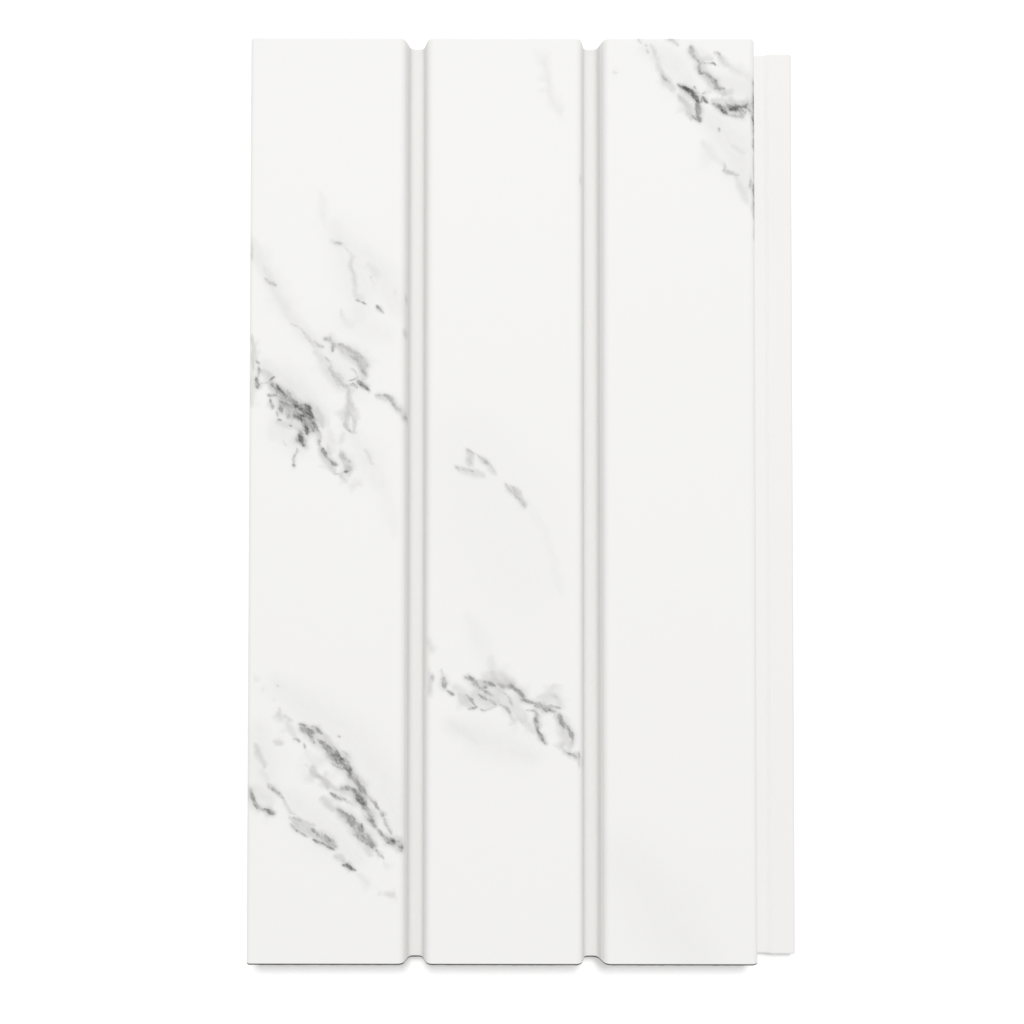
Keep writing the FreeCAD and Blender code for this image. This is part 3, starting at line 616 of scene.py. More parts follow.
def mark_fields(places):
    """The print at each place: its clouds, and the reach and darkness of its veins and cores.

    A reach is 1 on a mark's middle line, a half at its edge and 0 at twice its width.
    """
    count = len(places)
    wavered = waver(places)
    cloud = np.zeros(count)
    reach = {kind: np.zeros(count) for kind in (VEIN, CORE)}
    weight = {kind: np.full(count, LEAST) for kind in (VEIN, CORE)}
    depth = {kind: np.zeros(count) for kind in (VEIN, CORE)}
    for kind, darkness, width, *points in MARKS:
        route = on_film(points)
        room = ROOM * width
        near = np.flatnonzero(np.all(
            (wavered > route.min(axis=0) - room) & (wavered < route.max(axis=0) + room), axis=1
        ))
        distance, along, length = from_route(wavered[near], route)
        from_tip = np.minimum(along, length - along)
        half = width / 2 * (TIP_SHARE + (1 - TIP_SHARE) * np.clip(from_tip / width, 0, 1))
        if kind == SOFT:
            edge = WIDE_EDGE if width > WIDE_CLOUD else SOFT_EDGE
            haze = darkness * np.exp(-SOFT_SPREAD * (distance / half) ** edge)
        else:
            fade = -SOFT_SPREAD * (distance / half / HAZE_WIDTH) ** HAZE_EDGE
            haze = darkness * HAZE_DARKNESS * np.exp(fade)
        cloud[near] += haze**SOFT_BLEND
        if kind != SOFT:
            here = np.clip(1 - distance / (2 * half), 0, 1)
            reach[kind][near] = np.maximum(reach[kind][near], here)
            weight[kind][near] += here**DEPTH_FOCUS
            depth[kind][near] += darkness * here**DEPTH_FOCUS
    return {
        "cloud": cloud ** (1 / SOFT_BLEND),
        "vein_reach": reach[VEIN],
        "vein_darkness": depth[VEIN] / weight[VEIN],
        "core_reach": reach[CORE],
        "core_darkness": depth[CORE] / weight[CORE],
    }


def mark_nearness(places):
    """How far each place is from the edge of the nearest sharp mark and of the nearest cloud."""
    sharp = np.full(len(places), np.inf)
    soft = np.full(len(places), np.inf)
    for kind, _darkness, width, *points in MARKS:
        distance, _along, _length = from_route(places, on_film(points))
        nearest = soft if kind == SOFT else sharp
        np.minimum(nearest, distance - width / 2, out=nearest)
    return sharp, soft


# The section.

ARC_STEP = 0.4 * MM
LEAST_ARC_STEPS = 4
SUPPORT = 0.3 * MM
SUPPORTED_FLAT = 3 * SUPPORT
SAME_POINT = 0.001 * MM


def rounded_corner(before, corner, after, radius):
    """Points of a rounded corner, or the corner alone where it has no radius."""
    if not radius:
        return [corner]
    into = (corner - before).normalized()
    out = (after - corner).normalized()
    turn = into.angle(out)
    side = math.copysign(1.0, into.x * out.y - into.y * out.x)
    start = corner - into * radius * math.tan(turn / 2)
    centre = start + Vector((-into.y, into.x)) * side * radius
    spoke = start - centre
    steps = max(LEAST_ARC_STEPS, math.ceil(radius * turn / ARC_STEP))
    points = []
    for step in range(steps + 1):
        bend = side * turn * step / steps
        points.append(centre + Vector((
            spoke.x * math.cos(bend) - spoke.y * math.sin(bend),
            spoke.x * math.sin(bend) + spoke.y * math.cos(bend),
        )))
    return points


def section_corners(sizes):
    """The corners of the section, each with its radius, round from the rebate along the back."""
    left, right = LOWEST.x, HIGHEST.x
    land = sizes.root_thickness + sizes.land_rise
    roof = land + sizes.height_clearance
    rebate_wall = left + sizes.land_width + sizes.side_clearance
    land_start = right - sizes.land_width
    ramp_start = land_start - sizes.ramp_width
    face_end = land_start - sizes.joint_floor_width
    corners = [(rebate_wall, 0, sizes.rebate_radius)]

    room = face_end - rebate_wall - 2 * sizes.flute_margin
    flutes = math.floor(room / sizes.flute_pitch) + 1
    first = (rebate_wall + face_end - (flutes - 1) * sizes.flute_pitch) / 2
    radius = sizes.flute_radius
    for flute in range(flutes):
        centre = first + flute * sizes.flute_pitch
        corners += [
            (centre - radius, 0, 0),
            (centre - radius, radius, radius),
            (centre + radius, radius, radius),
            (centre + radius, 0, 0),
        ]

    corners += [
        (right, 0, sizes.heel_radius),
        (right, land, sizes.tip_radius),
        (land_start, land, sizes.ramp_radius),
        (ramp_start, sizes.root_thickness, sizes.ramp_radius),
        (face_end, sizes.root_thickness, sizes.root_radius),
        (face_end, THICKNESS, sizes.right_edge_radius),
    ]
    floor = THICKNESS - sizes.groove_depth
    for groove in reversed(range(sizes.groove_count)):
        mouth = left + sizes.first_slat_width + groove * sizes.groove_pitch
        centre = mouth + sizes.groove_mouth_width / 2
        shoulder = sizes.groove_mouth_width / 2
        foot = sizes.groove_floor_width / 2
        corners += [
            (centre + shoulder, THICKNESS, sizes.shoulder_radius),
            (centre + foot, floor, sizes.floor_radius),
            (centre - foot, floor, sizes.floor_radius),
            (centre - shoulder, THICKNESS, sizes.shoulder_radius),
        ]
    corners += [
        (left, THICKNESS, sizes.left_edge_radius),
        (left, roof, sizes.rebate_radius),
        (rebate_wall, roof, sizes.rebate_radius),
    ]
    return corners


def section_outline(sizes):
    """The section's points, with one more on each flat beside a rounding, to hold its shading."""
    corners = section_corners(sizes)
    places = [Vector(corner[:2]) for corner in corners]
    arcs = [
        rounded_corner(places[index - 1], place, places[(index + 1) % len(places)], corners[index][2])
        for index, place in enumerate(places)
    ]
    outline = []
    for index, arc in enumerate(arcs):
        following = arcs[(index + 1) % len(arcs)]
        flat = following[0] - arc[-1]
        outline += arc
        if flat.length > SUPPORTED_FLAT:
            outline += [arc[-1] + flat.normalized() * SUPPORT] if len(arc) > 1 else []
            outline += [following[0] - flat.normalized() * SUPPORT] if len(following) > 1 else []
    kept = [
        point for index, point in enumerate(outline) if (point - outline[index - 1]).length > SAME_POINT
    ]
    return np.array([tuple(point) for point in kept])


# Node trees.


def add_socket(tree, name, kind, default=None):
    """A named input of a node tree."""
    socket = tree.interface.new_socket(name, in_out="INPUT", socket_type=kind)
    if default is not None:
        socket.default_value = default
    return socket


def node(tree, kind, **settings):
    """A node of a tree, with its settings."""
    made = tree.nodes.new(kind)
    for name, value in settings.items():
        setattr(made, name, value)
    return made


def feed(tree, socket, value):
    """Joins an output to a socket, or sets the socket to a plain value."""
    if isinstance(value, bpy.types.NodeSocket):
        tree.links.new(value, socket)
    else:
        socket.default_value = value


def math_node(tree, operation, *values, clamp=False):
    """The result of a math node on outputs or plain numbers."""
    made = node(tree, "ShaderNodeMath", operation=operation, use_clamp=clamp)
    for socket, value in zip(made.inputs, values):
        feed(tree, socket, value)
    return made.outputs[0]


def new_material(name, kind="ShaderNodeBsdfPrincipled"):
    """An empty node material, its tree and its shader."""
    material = bpy.data.materials.new(name)
    material.use_nodes = True
    tree = material.node_tree
    tree.nodes.clear()
    shader = node(tree, kind)
    tree.links.new(shader.outputs[0], node(tree, "ShaderNodeOutputMaterial").inputs["Surface"])
    return material, tree, shader


# The body.

UNIT_GRID = 1.0
PLAIN_RINGS = 132
ARRIS_STEPS = 4
WORN_RINGS = ARRIS_STEPS + 2


def ring_stations(radius):
    """Where the shell's rings lie along the panel, with a few over the worn arris of each end."""
    bends = np.linspace(math.pi / 2, 0, ARRIS_STEPS + 1)
    worn = np.append(radius * (1 - np.sin(bends)), radius + SUPPORT)
    plain = np.linspace(LOWEST.y + worn[-1], HIGHEST.y - worn[-1], PLAIN_RINGS)[1:-1]
    return np.concatenate([LOWEST.y + worn, plain, HIGHEST.y - worn[::-1]])


def extrusion_tree():
    """Geometry nodes that run a section, a loop of points across and up, along the panel."""
    tree = bpy.data.node_groups.new("panel_extrusion", "GeometryNodeTree")
    tree.interface.new_socket("Geometry", in_out="OUTPUT", socket_type="NodeSocketGeometry")
    add_socket(tree, "Geometry", "NodeSocketGeometry")
    add_socket(tree, "Length", "NodeSocketFloat", 0.1)
    add_socket(tree, "Rings", "NodeSocketInt", 2)
    add_socket(tree, "Material", "NodeSocketMaterial")
    given = node(tree, "NodeGroupInput").outputs
    result = node(tree, "NodeGroupOutput")
    link = tree.links.new

    points = node(tree, "GeometryNodeAttributeDomainSize", component="MESH")
    link(given["Geometry"], points.inputs["Geometry"])
    count = points.outputs["Point Count"]
    grid = node(tree, "GeometryNodeMeshGrid")
    grid.inputs["Size X"].default_value = UNIT_GRID
    grid.inputs["Size Y"].default_value = UNIT_GRID
    link(math_node(tree, "ADD", count, 1), grid.inputs["Vertices X"])
    link(given["Rings"], grid.inputs["Vertices Y"])

    grid_place = node(tree, "ShaderNodeSeparateXYZ")
    link(node(tree, "GeometryNodeInputPosition").outputs[0], grid_place.inputs[0])
    share = math_node(tree, "ADD", grid_place.outputs["X"], UNIT_GRID / 2)
    column = math_node(tree, "ROUND", math_node(tree, "MULTIPLY", share, count))
    section_point = node(tree, "GeometryNodeSampleIndex", data_type="FLOAT_VECTOR", domain="POINT")
    link(given["Geometry"], section_point.inputs["Geometry"])
    link(node(tree, "GeometryNodeInputPosition").outputs[0], section_point.inputs["Value"])
    link(math_node(tree, "FLOORED_MODULO", column, count), section_point.inputs["Index"])
    section_place = node(tree, "ShaderNodeSeparateXYZ")
    link(section_point.outputs[0], section_place.inputs[0])
    moved = node(tree, "ShaderNodeCombineXYZ")
    link(section_place.outputs["X"], moved.inputs["X"])
    link(math_node(tree, "MULTIPLY", grid_place.outputs["Y"], given["Length"]), moved.inputs["Y"])
    link(section_place.outputs["Z"], moved.inputs["Z"])

    shell = node(tree, "GeometryNodeSetPosition")
    link(grid.outputs["Mesh"], shell.inputs["Geometry"])
    link(moved.outputs[0], shell.inputs["Position"])
    closed = node(tree, "GeometryNodeMergeByDistance")
    closed.inputs["Distance"].default_value = SAME_POINT / 2
    link(shell.outputs[0], closed.inputs["Geometry"])
    real = node(tree, "GeometryNodeRealizeInstances")
    link(closed.outputs[0], real.inputs[0])
    painted = node(tree, "GeometryNodeSetMaterial")
    link(real.outputs[0], painted.inputs["Geometry"])
    link(given["Material"], painted.inputs["Material"])
    link(painted.outputs[0], result.inputs[0])
    return tree


def set_input(modifier, name, value):
    """Sets a modifier's input by the identifier of its socket."""
    sockets = modifier.node_group.interface.items_tree
    socket = next(s for s in sockets if s.name == name and s.in_out == "INPUT")
    modifier[socket.identifier] = value


def extrude(outline, length, rings, material):
    """The shell of the panel as a mesh: the outline run along the panel, open at both ends."""
    count = len(outline)
    mesh = bpy.data.meshes.new("section")
    mesh.from_pydata(
        [(across, 0, up) for across, up in outline],
        [(index, (index + 1) % count) for index in range(count)],
        [],
    )
    section = bpy.data.objects.new("section", mesh)
    bpy.context.scene.collection.objects.link(section)
    modifier = section.modifiers.new("extrusion", "NODES")
    modifier.node_group = extrusion_tree()
    set_input(modifier, "Length", length)
    set_input(modifier, "Rings", rings)
    set_input(modifier, "Material", material)
    seen = section.evaluated_get(bpy.context.evaluated_depsgraph_get())
    shell = bpy.data.meshes.new_from_object(seen)
    bpy.data.objects.remove(section)
    return shell


# The triangles that fill the slat tops and the sawn ends, small where the print has detail.

END_STEP = 0.7
VEIN_STEP, CLOUD_STEP, PLAIN_STEP = 0.34, 0.7, 3.2
VEIN_MARGIN, CLOUD_MARGIN = 0.7, 1.6
JITTER = 0.3
CLEAR = 0.3
FILL_INSIDE = 1
NARROWEST_SLAT = 10 * MM
CORNER_ANGLE = math.radians(38)
SKIN_INDEX, FOAM_INDEX = 0, 1

# The wear of the sawn ends' edges, and the cells that the saw has torn.

WEAR_WAVE = 1.6 * MM
SAW_WAVE = 2 * MM
CELL_WAVE = 0.7 * MM
MEAN_TEAR = 0.5
CELL_SHARE = 0.5


def scattered(low, high, step, chance):
    """A grid of places between two corners, each shifted a little by chance."""
    columns = np.arange(low[0] + step / 2, high[0], step)
    rows = np.arange(low[1] + step / 2, high[1], step)
    grid = np.stack(np.meshgrid(columns, rows), axis=-1).reshape(-1, 2)
    return grid + chance.uniform(-JITTER, JITTER, grid.shape) * step


def fill(ring, inner):
    """Triangles inside a ring of points, in millimetres, through the inner points too."""
    points = [Vector(place) for place in ring] + [Vector(place) for place in inner]
    found = delaunay_2d_cdt(points, [], [list(range(len(ring)))], FILL_INSIDE, LEAST, True)
    places, triangles, from_ring = found[0], found[2], found[5]
    within = [triangle for triangle, ring_face in zip(triangles, from_ring) if ring_face]
    return np.array([tuple(place) for place in places]), within


def along_edge(start, end):
    """Evenly spaced points of a sawn end's edge, from start up to but not at its end."""
    steps = max(1, round(abs(end - start) / MM / END_STEP))
    return [start + (end - start) * step / steps for step in range(steps)]


def is_slat_top(start, end):
    """Whether a stretch of the outline is the flat top of a slat."""
    level = min(start[1], end[1]) > THICKNESS - SAME_POINT
    return level and abs(end[0] - start[0]) > NARROWEST_SLAT


def slat_top(left, right, stations):
    """The flat top of a slat: its places in metres and its triangles."""
    chance = np.random.default_rng(SEED)
    edge = along_edge(left, right)
    worn = [*stations[1:WORN_RINGS], *stations[-WORN_RINGS:-1]]
    rows = np.array([(across, along) for along in worn for across in edge[1:]])
    ring = [(across, LOWEST.y) for across in edge]
    ring += [(right, along) for along in stations[:-1]]
    ring += [(across, HIGHEST.y) for across in along_edge(right, left)]
    ring += [(left, along) for along in stations[:0:-1]]
    low = np.array([left, stations[WORN_RINGS - 1]]) / MM + CLEAR
    high = np.array([right, stations[-WORN_RINGS]]) / MM - CLEAR

    kept = []
    for step in (VEIN_STEP, CLOUD_STEP, PLAIN_STEP):
        places = scattered(low, high, step, chance)
        sharp, soft = mark_nearness(on_face(places * MM))
        by_vein = sharp < VEIN_MARGIN
        by_cloud = (soft < 0) | (sharp < CLOUD_MARGIN)
        wanted = {VEIN_STEP: by_vein, CLOUD_STEP: by_cloud & ~by_vein, PLAIN_STEP: ~by_cloud & ~by_vein}
        kept.append(places[wanted[step]])
    inner = np.clip(np.concatenate(kept), low, high)
    places, triangles = fill(np.array(ring) / MM, np.concatenate([rows / MM, inner]))
    level = np.full((len(places), 1), THICKNESS)
    return np.hstack([places * MM, level]), triangles


def inside(places, ring, clear):
    """Which places lie inside a ring and clear of it."""
    within = np.zeros(len(places), dtype=bool)
    gap = np.full(len(places), np.inf)
    for start, end in zip(ring, np.roll(ring, -1, axis=0)):
        step = end - start
        crosses = (start[1] > places[:, 1]) != (end[1] > places[:, 1])
        if step[1]:
            meets = start[0] + (places[:, 1] - start[1]) * step[0] / step[1]
            within ^= crosses & (places[:, 0] < meets)
        share = np.clip((places - start) @ step / (step @ step), 0, 1)
        gap = np.minimum(gap, np.hypot(*(places - start - share[:, None] * step).T))
    return within & (gap > clear)


def sawn_end(outline, along, clear):
    """A sawn end of the panel: its places in metres and its triangles."""
    ring = []
    for start, end in zip(outline, np.roll(outline, -1, axis=0)):
        if is_slat_top(start, end):
            ring += [(across, THICKNESS) for across in along_edge(start[0], end[0])]
        else:
            ring.append(tuple(start))
    ring = np.array(ring) / MM
    chance = np.random.default_rng(SEED)
    inner = scattered(ring.min(axis=0), ring.max(axis=0), END_STEP, chance)
    places, triangles = fill(ring, inner[inside(inner, ring, clear)])
    across, up = places.T * MM
    return np.stack([across, np.full(len(places), along), up], axis=1), triangles


def on_face(places):
    """Places across and along in metres, as millimetres across and down from the face's corner."""
    return np.stack([places[:, 0] - LOWEST.x, HIGHEST.y - places[:, 1]], axis=1) / MM


def add_patch(body, places, triangles, material_index):
    """Adds a filled patch to the body's mesh."""
    corners = [body.verts.new(place) for place in places]
    for triangle in triangles:
        face = body.faces.new([corners[index] for index in triangle])
        face.material_index = material_index


def wear_ends(body, finish):
    """Rounds the edges of the sawn ends off, unevenly, and sinks the cells that the saw has torn."""
    radius = finish.arris_radius
    moves = []
    for corner in body.verts:
        end = math.copysign(HIGHEST.y, corner.co.y)
        depth = abs(end - corner.co.y)
        if depth > radius:
            continue
        sides = [face.normal for face in corner.link_faces if face.material_index != FOAM_INDEX]
        if sides:
            place = Vector((corner.co.x, end, corner.co.z))
            wear = 1 + finish.arris_wear * noise.noise(place / WEAR_WAVE)
            out = sum(sides, Vector())
            out.y = 0
            bite = radius - math.sqrt(max(0.0, radius**2 - (radius - depth) ** 2))
            moves.append((corner, out.normalized() * -bite * wear))
        else:
            cells = CELL_SHARE * noise.noise(corner.co / CELL_WAVE)
            torn = MEAN_TEAR + noise.noise(corner.co / SAW_WAVE) + cells
            torn = finish.saw_relief * max(0.0, min(1.0, torn))
            moves.append((corner, Vector((0, -math.copysign(torn, end), 0))))
    for corner, move in moves:
        corner.co += move


def panel_mesh(sizes, finish, materials):
    """The whole closed mesh of the panel, with the print's marks on its points."""
    outline = section_outline(sizes)
    stations = ring_stations(finish.arris_radius)
    mesh = extrude(outline, LENGTH, len(stations), materials[0])
    body = bmesh.new()
    body.from_mesh(mesh)
    for face in body.faces:
        face.material_index = SKIN_INDEX
    for corner in body.verts:
        ring = round((corner.co.y - LOWEST.y) / LENGTH * (len(stations) - 1))
        corner.co.y = stations[ring]
    wide = [
        face for face in body.faces
        if min(corner.co.z for corner in face.verts) > THICKNESS - SAME_POINT
        and max(edge.calc_length() for edge in face.edges) > NARROWEST_SLAT
    ]
    bmesh.ops.delete(body, geom=wide, context="FACES")
    for start, end in zip(outline, np.roll(outline, -1, axis=0)):
        if is_slat_top(start, end):
            add_patch(body, *slat_top(end[0], start[0], stations), SKIN_INDEX)
    for along in (LOWEST.y, HIGHEST.y):
        add_patch(body, *sawn_end(outline, along, finish.arris_radius / MM + CLEAR), FOAM_INDEX)
    bmesh.ops.remove_doubles(body, verts=body.verts, dist=SAME_POINT)
    bmesh.ops.recalc_face_normals(body, faces=body.faces)
    if any(len(edge.link_faces) != 2 for edge in body.edges):
        raise RuntimeError("The panel's mesh isn't closed")
    body.normal_update()
    wear_ends(body, finish)
    mesh.materials.clear()
    for material in materials:
        mesh.materials.append(material)
    body.to_mesh(mesh)
    body.free()

    mesh.polygons.foreach_set("use_smooth", np.ones(len(mesh.polygons), dtype=bool))
    mesh.set_sharp_from_angle(angle=CORNER_ANGLE)
    places = np.empty(3 * len(mesh.vertices))
    mesh.vertices.foreach_get("co", places)
    for name, values in mark_fields(on_face(places.reshape(-1, 3)[:, :2])).items():
        mesh.attributes.new(name, "FLOAT", "POINT").data.foreach_set("value", values)
    return mesh


# The grain and the edges of the printed marks.

NOISE_DETAIL = 2.0
NOISE_SPAN = (0.35, 0.65)
GRAIN_STRETCH = (0.5, 1, 1)
RAGGED_EDGE = 0.7
UNEVEN_EDGE = 0.8
INKED_REACH = (0.28, 0.85)
DOT_STRENGTH = (0.7, 1.2)
PATCH_STRENGTH = (0.6, 1.25)
MOTTLE_SPAN = (0.3, 0.7)
MOTTLE_STRENGTH = (0.85, 1.15)
EYE_POWER = 2.2

# The plain skin, which changes at the tongue's top, with the grooves above it darker in part as painted
# shade, and the sawn foam.

TONGUE_TOP = 5.3 * MM
BLEND = 0.1 * MM
DIE_LINE_WAVE = 1.5 * MM
DIE_LINE_STRETCH = (1, 0.01, 1)
ORANGE_PEEL_WAVE = 2.5 * MM
ORANGE_PEEL_STRETCH = (1, 0.6, 1)
SKIN_BUMP = 0.35
SKIN_RELIEF = 0.02 * MM
CELL_WIDTH = 0.45 * MM
CELL_WALL = (0.1, 0.6)
FOAM_BUMP = 0.6
FOAM_RELIEF = 0.1 * MM


def object_place(tree):
    """The place on the piece, in its own coordinates."""
    return node(tree, "ShaderNodeTexCoord").outputs["Object"]


def turned_place(tree, turn, stretch):
    """Object coordinates turned about the face's normal, then stretched along each axis."""
    turned = node(tree, "ShaderNodeVectorRotate", rotation_type="Z_AXIS")
    tree.links.new(object_place(tree), turned.inputs["Vector"])
    turned.inputs["Angle"].default_value = turn
    scaled = node(tree, "ShaderNodeVectorMath", operation="MULTIPLY")
    tree.links.new(turned.outputs[0], scaled.inputs[0])
    scaled.inputs[1].default_value = stretch
    return scaled.outputs[0]


def cloud_noise(tree, place, wave):
    """Noise about a half, with its waves as long as given, in metres."""
    made = node(tree, "ShaderNodeTexNoise")
    tree.links.new(place, made.inputs["Vector"])
    made.inputs["Scale"].default_value = 1 / wave
    made.inputs["Detail"].default_value = NOISE_DETAIL
    return made.outputs["Fac"]


def ramp(tree, value, low, high, out_low=0.0, out_high=1.0):
    """A value eased from one range to another."""
    made = node(tree, "ShaderNodeMapRange", interpolation_type="SMOOTHSTEP")
    for name, number in (
        ("Value", value), ("From Min", low), ("From Max", high), ("To Min", out_low), ("To Max", out_high)
    ):
        feed(tree, made.inputs[name], number)
    return made.outputs["Result"]


def beyond(tree, value, line):
    """1 where a value lies beyond a line and 0 before it, with a short blend between."""
    return ramp(tree, value, line - BLEND, line + BLEND)


def add_bump(tree, shader, height, strength, relief):
    """Gives a shader a bump of the given relief, in metres."""
    bump = node(tree, "ShaderNodeBump")
    bump.inputs["Strength"].default_value = strength
    bump.inputs["Distance"].default_value = relief
    tree.links.new(height, bump.inputs["Height"])
    tree.links.new(bump.outputs[0], shader.inputs["Normal"])


def field(tree, name):
    """A mark field of the mesh."""
    return node(tree, "ShaderNodeAttribute", attribute_name=name).outputs["Fac"]


def mixed(tree, factor, first, second):
    """A mix of two colours or outputs."""
    made = node(tree, "ShaderNodeMix", data_type="RGBA")
    feed(tree, made.inputs["Factor"], factor)
    feed(tree, made.inputs["A"], opaque(first))
    feed(tree, made.inputs["B"], opaque(second))
    return made.outputs["Result"]


def opaque(value):
    """A colour with its alpha, or an output as it is."""
    return value if isinstance(value, bpy.types.NodeSocket) else (*value, 1.0)


def inverse_product(tree, values):
    """What is left of the ground's brightness under several darknesses."""
    left = 1.0
    for value in values:
        left = math_node(tree, "MULTIPLY", left, math_node(tree, "SUBTRACT", 1.0, value, clamp=True))
    return left


def granular(tree, kind, strength, fine, blotches):
    """The darkness of the veins or the cores, with a soft, ragged edge and broken up into dots."""
    ragged = math_node(tree, "MULTIPLY", math_node(tree, "SUBTRACT", fine, 0.5), RAGGED_EDGE)
    uneven = math_node(tree, "MULTIPLY", math_node(tree, "SUBTRACT", blotches, 0.5), UNEVEN_EDGE)
    edge = math_node(tree, "ADD", ragged, uneven)
    mask = ramp(tree, math_node(tree, "ADD", field(tree, f"{kind}_reach"), edge), *INKED_REACH)
    dots = ramp(tree, fine, *NOISE_SPAN, *DOT_STRENGTH)
    patches = ramp(tree, blotches, *NOISE_SPAN, *(share * strength for share in PATCH_STRENGTH))
    print_depth = math_node(tree, "MULTIPLY", field(tree, f"{kind}_darkness"), dots)
    return math_node(tree, "MULTIPLY", mask, math_node(tree, "MULTIPLY", print_depth, patches))


def print_brightness(tree, finish):
    """How bright the marble print is beside its own ground, as the eye sees it."""
    grain = turned_place(tree, finish.grain_angle, GRAIN_STRETCH)
    fine = cloud_noise(tree, grain, finish.grain)
    blotches = cloud_noise(tree, grain, finish.blotch)
    veins = granular(tree, VEIN, finish.vein_strength, fine, blotches)
    cores = granular(tree, CORE, finish.core_strength, fine, blotches)
    mottle = ramp(tree, blotches, *MOTTLE_SPAN, *MOTTLE_STRENGTH)
    cloud = math_node(tree, "MULTIPLY", field(tree, "cloud"), finish.cloud_strength)
    clouds = math_node(tree, "MULTIPLY", cloud, mottle)
    return inverse_product(tree, (clouds, veins, cores))


def skin_material(finish):
    """The marble print on the slats, plain skin elsewhere with painted shade in the grooves, and a
    painted shadow line along the lower end.
    """
    material, tree, shader = new_material("panel_skin")
    place = node(tree, "ShaderNodeSeparateXYZ")
    tree.links.new(object_place(tree), place.inputs[0])

    dim = math_node(tree, "POWER", print_brightness(tree, finish), EYE_POWER)
    printed = node(tree, "ShaderNodeVectorMath", operation="SCALE")
    printed.inputs[0].default_value = finish.film_colour
    tree.links.new(dim, printed.inputs["Scale"])
    film = beyond(tree, place.outputs["Z"], THICKNESS - finish.film_reach)
    face = beyond(tree, place.outputs["Z"], TONGUE_TOP)
    # Painted shadow: a dark line along the lower end's edge, above the tongue's top.
    outside_painted_shadow = beyond(tree, place.outputs["Y"], LOWEST.y + finish.painted_shadow_width)
    # Above the tongue's top the grooves' skin is darker, partly its own colour and partly painted shade.
    skin = mixed(tree, face, finish.tongue_colour, finish.groove_skin_and_shade_colour)
    painted_shadow = math_node(tree, "MULTIPLY", face, math_node(tree, "SUBTRACT", 1.0, outside_painted_shadow))
    surface = mixed(tree, painted_shadow, mixed(tree, film, skin, printed.outputs[0]), finish.painted_shadow_colour)
    tree.links.new(surface, shader.inputs["Base Color"])
    tree.links.new(
        ramp(tree, film, 0, 1, finish.skin_roughness, finish.film_roughness), shader.inputs["Roughness"]
    )

    die_lines = cloud_noise(tree, turned_place(tree, 0, DIE_LINE_STRETCH), DIE_LINE_WAVE)
    orange_peel = cloud_noise(tree, turned_place(tree, 0, ORANGE_PEEL_STRETCH), ORANGE_PEEL_WAVE)
    relief = math_node(tree, "ADD", die_lines, orange_peel)
    add_bump(tree, shader, relief, SKIN_BUMP, SKIN_RELIEF)
    return material


def foam_material(finish):
    """The sawn foam of the ends, with its small open cells."""
    material, tree, shader = new_material("sawn_foam")
    cells = node(tree, "ShaderNodeTexVoronoi")
    tree.links.new(object_place(tree), cells.inputs["Vector"])
    cells.inputs["Scale"].default_value = 1 / CELL_WIDTH
    wall = ramp(tree, cells.outputs["Distance"], *CELL_WALL)
    tree.links.new(
        mixed(tree, wall, finish.cell_colour, finish.foam_colour), shader.inputs["Base Color"]
    )
    shader.inputs["Roughness"].default_value = finish.foam_roughness
    add_bump(tree, shader, wall, FOAM_BUMP, FOAM_RELIEF)
    return material


class WALLPANEL_OT_panel(bpy.types.Operator):
    """Makes the panel: the printed face, the plain skin and the sawn ends"""

    bl_idname = "wallpanel.panel"
    bl_label = "Make the panel"

    def execute(self, context):
        sizes = context.scene.panel_sizes
        finish = context.scene.panel_finish
        mesh = panel_mesh(sizes, finish, (skin_material(finish), foam_material(finish)))
        piece = bpy.data.objects.new(PIECE, mesh)
        context.scene.collection.objects.link(piece)
        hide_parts(NODE)
        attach(piece, BODY)
        return {"FINISHED"}


# The studio.

FLOOR_SIZE = 3.0
FLOOR_GAP = 0.05 * MM
LAMP_PLACE = (0.0, 2.85, 5.3)
LAMP_SIZE = 1.3
SENSOR_WIDTH = 36.0


def seen_directly(tree):
    """1 for the rays that show the background, from the camera, a reflection or through glass."""
    path = node(tree, "ShaderNodeLightPath").outputs
    reflected = math_node(tree, "ADD", path["Is Glossy Ray"], path["Is Transmission Ray"])
    return math_node(tree, "ADD", path["Is Camera Ray"], reflected, clamp=True)


def make_floor(studio):
    """The floor, which looks white and keeps the panel's shadow."""
    half = FLOOR_SIZE / 2
    mesh = bpy.data.meshes.new("floor")
    corners = [(x * half, y * half, -FLOOR_GAP) for x, y in ((-1, -1), (1, -1), (1, 1), (-1, 1))]
    mesh.from_pydata(corners, [], [(0, 1, 2, 3)])
    material, tree, shader = new_material("floor", "ShaderNodeBsdfDiffuse")
    shade = mixed(tree, seen_directly(tree), studio.floor_colour, studio.backdrop_colour)
    tree.links.new(shade, shader.inputs["Color"])
    mesh.materials.append(material)
    floor = bpy.data.objects.new("floor", mesh)
    bpy.context.scene.collection.objects.link(floor)


def make_light(studio):
    """Even light from all round, and one broad lamp beyond the panel's upper end."""
    world = bpy.data.worlds.new("studio")
    world.use_nodes = True
    tree = world.node_tree
    tree.nodes.clear()
    sky = node(tree, "ShaderNodeBackground")
    rise = math_node(tree, "MULTIPLY", seen_directly(tree), 1 - studio.sky_strength)
    tree.links.new(math_node(tree, "ADD", rise, studio.sky_strength), sky.inputs["Strength"])
    sky.inputs["Color"].default_value = (1, 1, 1, 1)
    tree.links.new(sky.outputs[0], node(tree, "ShaderNodeOutputWorld").inputs["Surface"])
    bpy.context.scene.world = world

    lamp = bpy.data.lights.new("key", "AREA")
    lamp.energy = studio.key_power
    lamp.size = LAMP_SIZE
    key = bpy.data.objects.new("key", lamp)
    key.location = LAMP_PLACE
    key.rotation_euler = (-Vector(LAMP_PLACE)).to_track_quat("-Z", "Y").to_euler()
    bpy.context.scene.collection.objects.link(key)


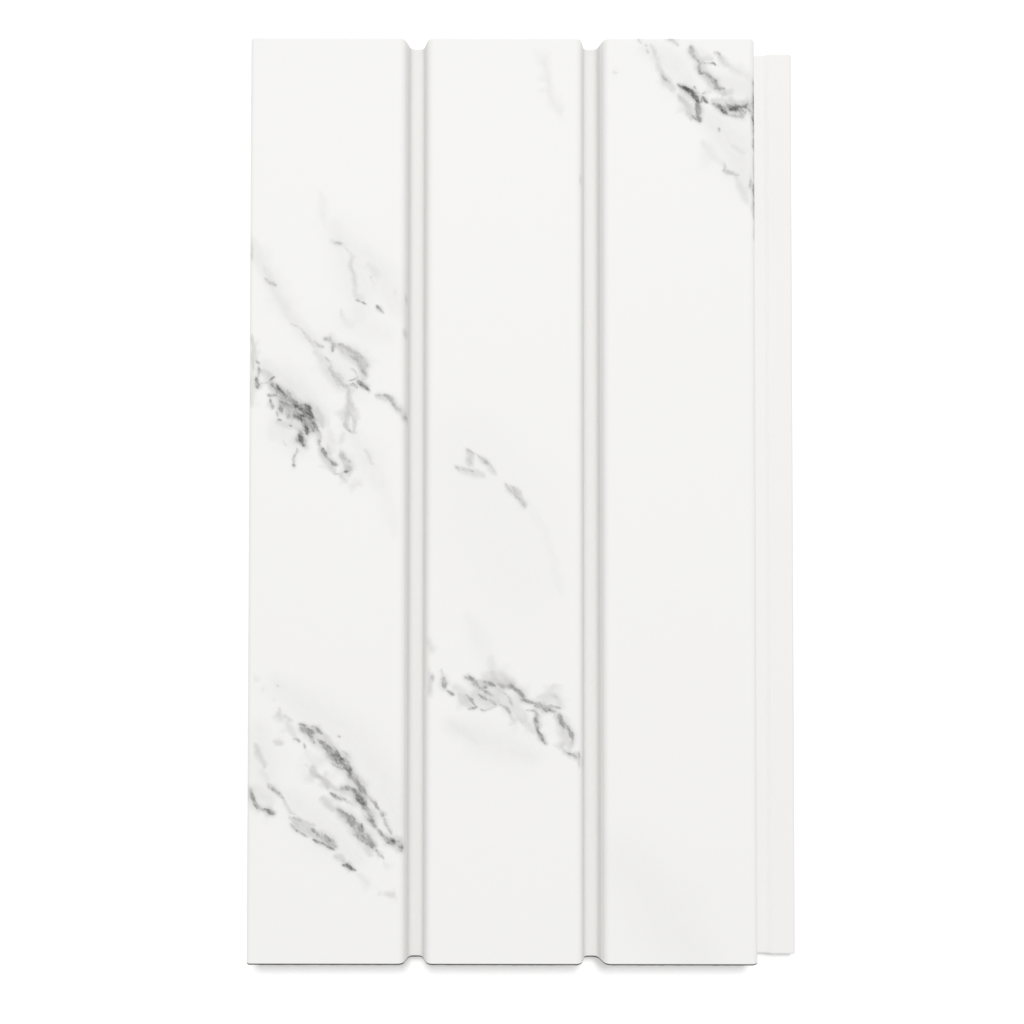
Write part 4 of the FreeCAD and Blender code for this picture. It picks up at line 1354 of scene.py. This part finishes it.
def make_camera(studio):
    """The camera, almost straight above the panel, with its lens shifted to frame it."""
    lens = bpy.data.cameras.new("camera")
    lens.sensor_width = SENSOR_WIDTH
    lens.lens = studio.focal_length
    lens.shift_x = studio.shift_across
    lens.shift_y = studio.shift_up
    camera = bpy.data.objects.new("camera", lens)
    camera.location = (studio.camera_across, studio.camera_along, THICKNESS + studio.camera_height)
    camera.rotation_euler = (studio.camera_tilt, 0, studio.camera_roll)
    bpy.context.scene.collection.objects.link(camera)
    bpy.context.scene.camera = camera


class WALLPANEL_OT_stage(bpy.types.Operator):
    """Makes the floor, the light and the camera"""

    bl_idname = "wallpanel.stage"
    bl_label = "Make the stage"

    def execute(self, context):
        studio = context.scene.panel_studio
        make_floor(studio)
        make_light(studio)
        make_camera(studio)
        context.scene.view_settings.view_transform = "Standard"
        return {"FINISHED"}


class WALLPANEL_PT_sidebar(bpy.types.Panel):
    """The panel's sizes, its finish and its makers in the sidebar"""

    bl_idname = "WALLPANEL_PT_sidebar"
    bl_label = "Wall panel"
    bl_space_type = "VIEW_3D"
    bl_region_type = "UI"
    bl_category = "Wall panel"

    def draw(self, context):
        for group in (context.scene.panel_sizes, context.scene.panel_finish, context.scene.panel_studio):
            box = self.layout.box()
            for name in group.bl_rna.properties.keys():
                if name not in ("name", "rna_type"):
                    box.prop(group, name)
        self.layout.operator(WALLPANEL_OT_panel.bl_idname)
        self.layout.operator(WALLPANEL_OT_stage.bl_idname)


GROUPS = {"panel_sizes": PanelSizes, "panel_finish": PanelFinish, "panel_studio": Studio}
CLASSES = (*GROUPS.values(), WALLPANEL_OT_panel, WALLPANEL_OT_stage, WALLPANEL_PT_sidebar)


def register():
    for made in CLASSES:
        bpy.utils.register_class(made)
    for name, group in GROUPS.items():
        setattr(bpy.types.Scene, name, bpy.props.PointerProperty(type=group))


def unregister():
    for name in GROUPS:
        delattr(bpy.types.Scene, name)
    for made in reversed(CLASSES):
        bpy.utils.unregister_class(made)


def main():
    register()
    bpy.ops.wallpanel.panel()
    bpy.ops.wallpanel.stage()


if __name__ == "__main__":
    main()
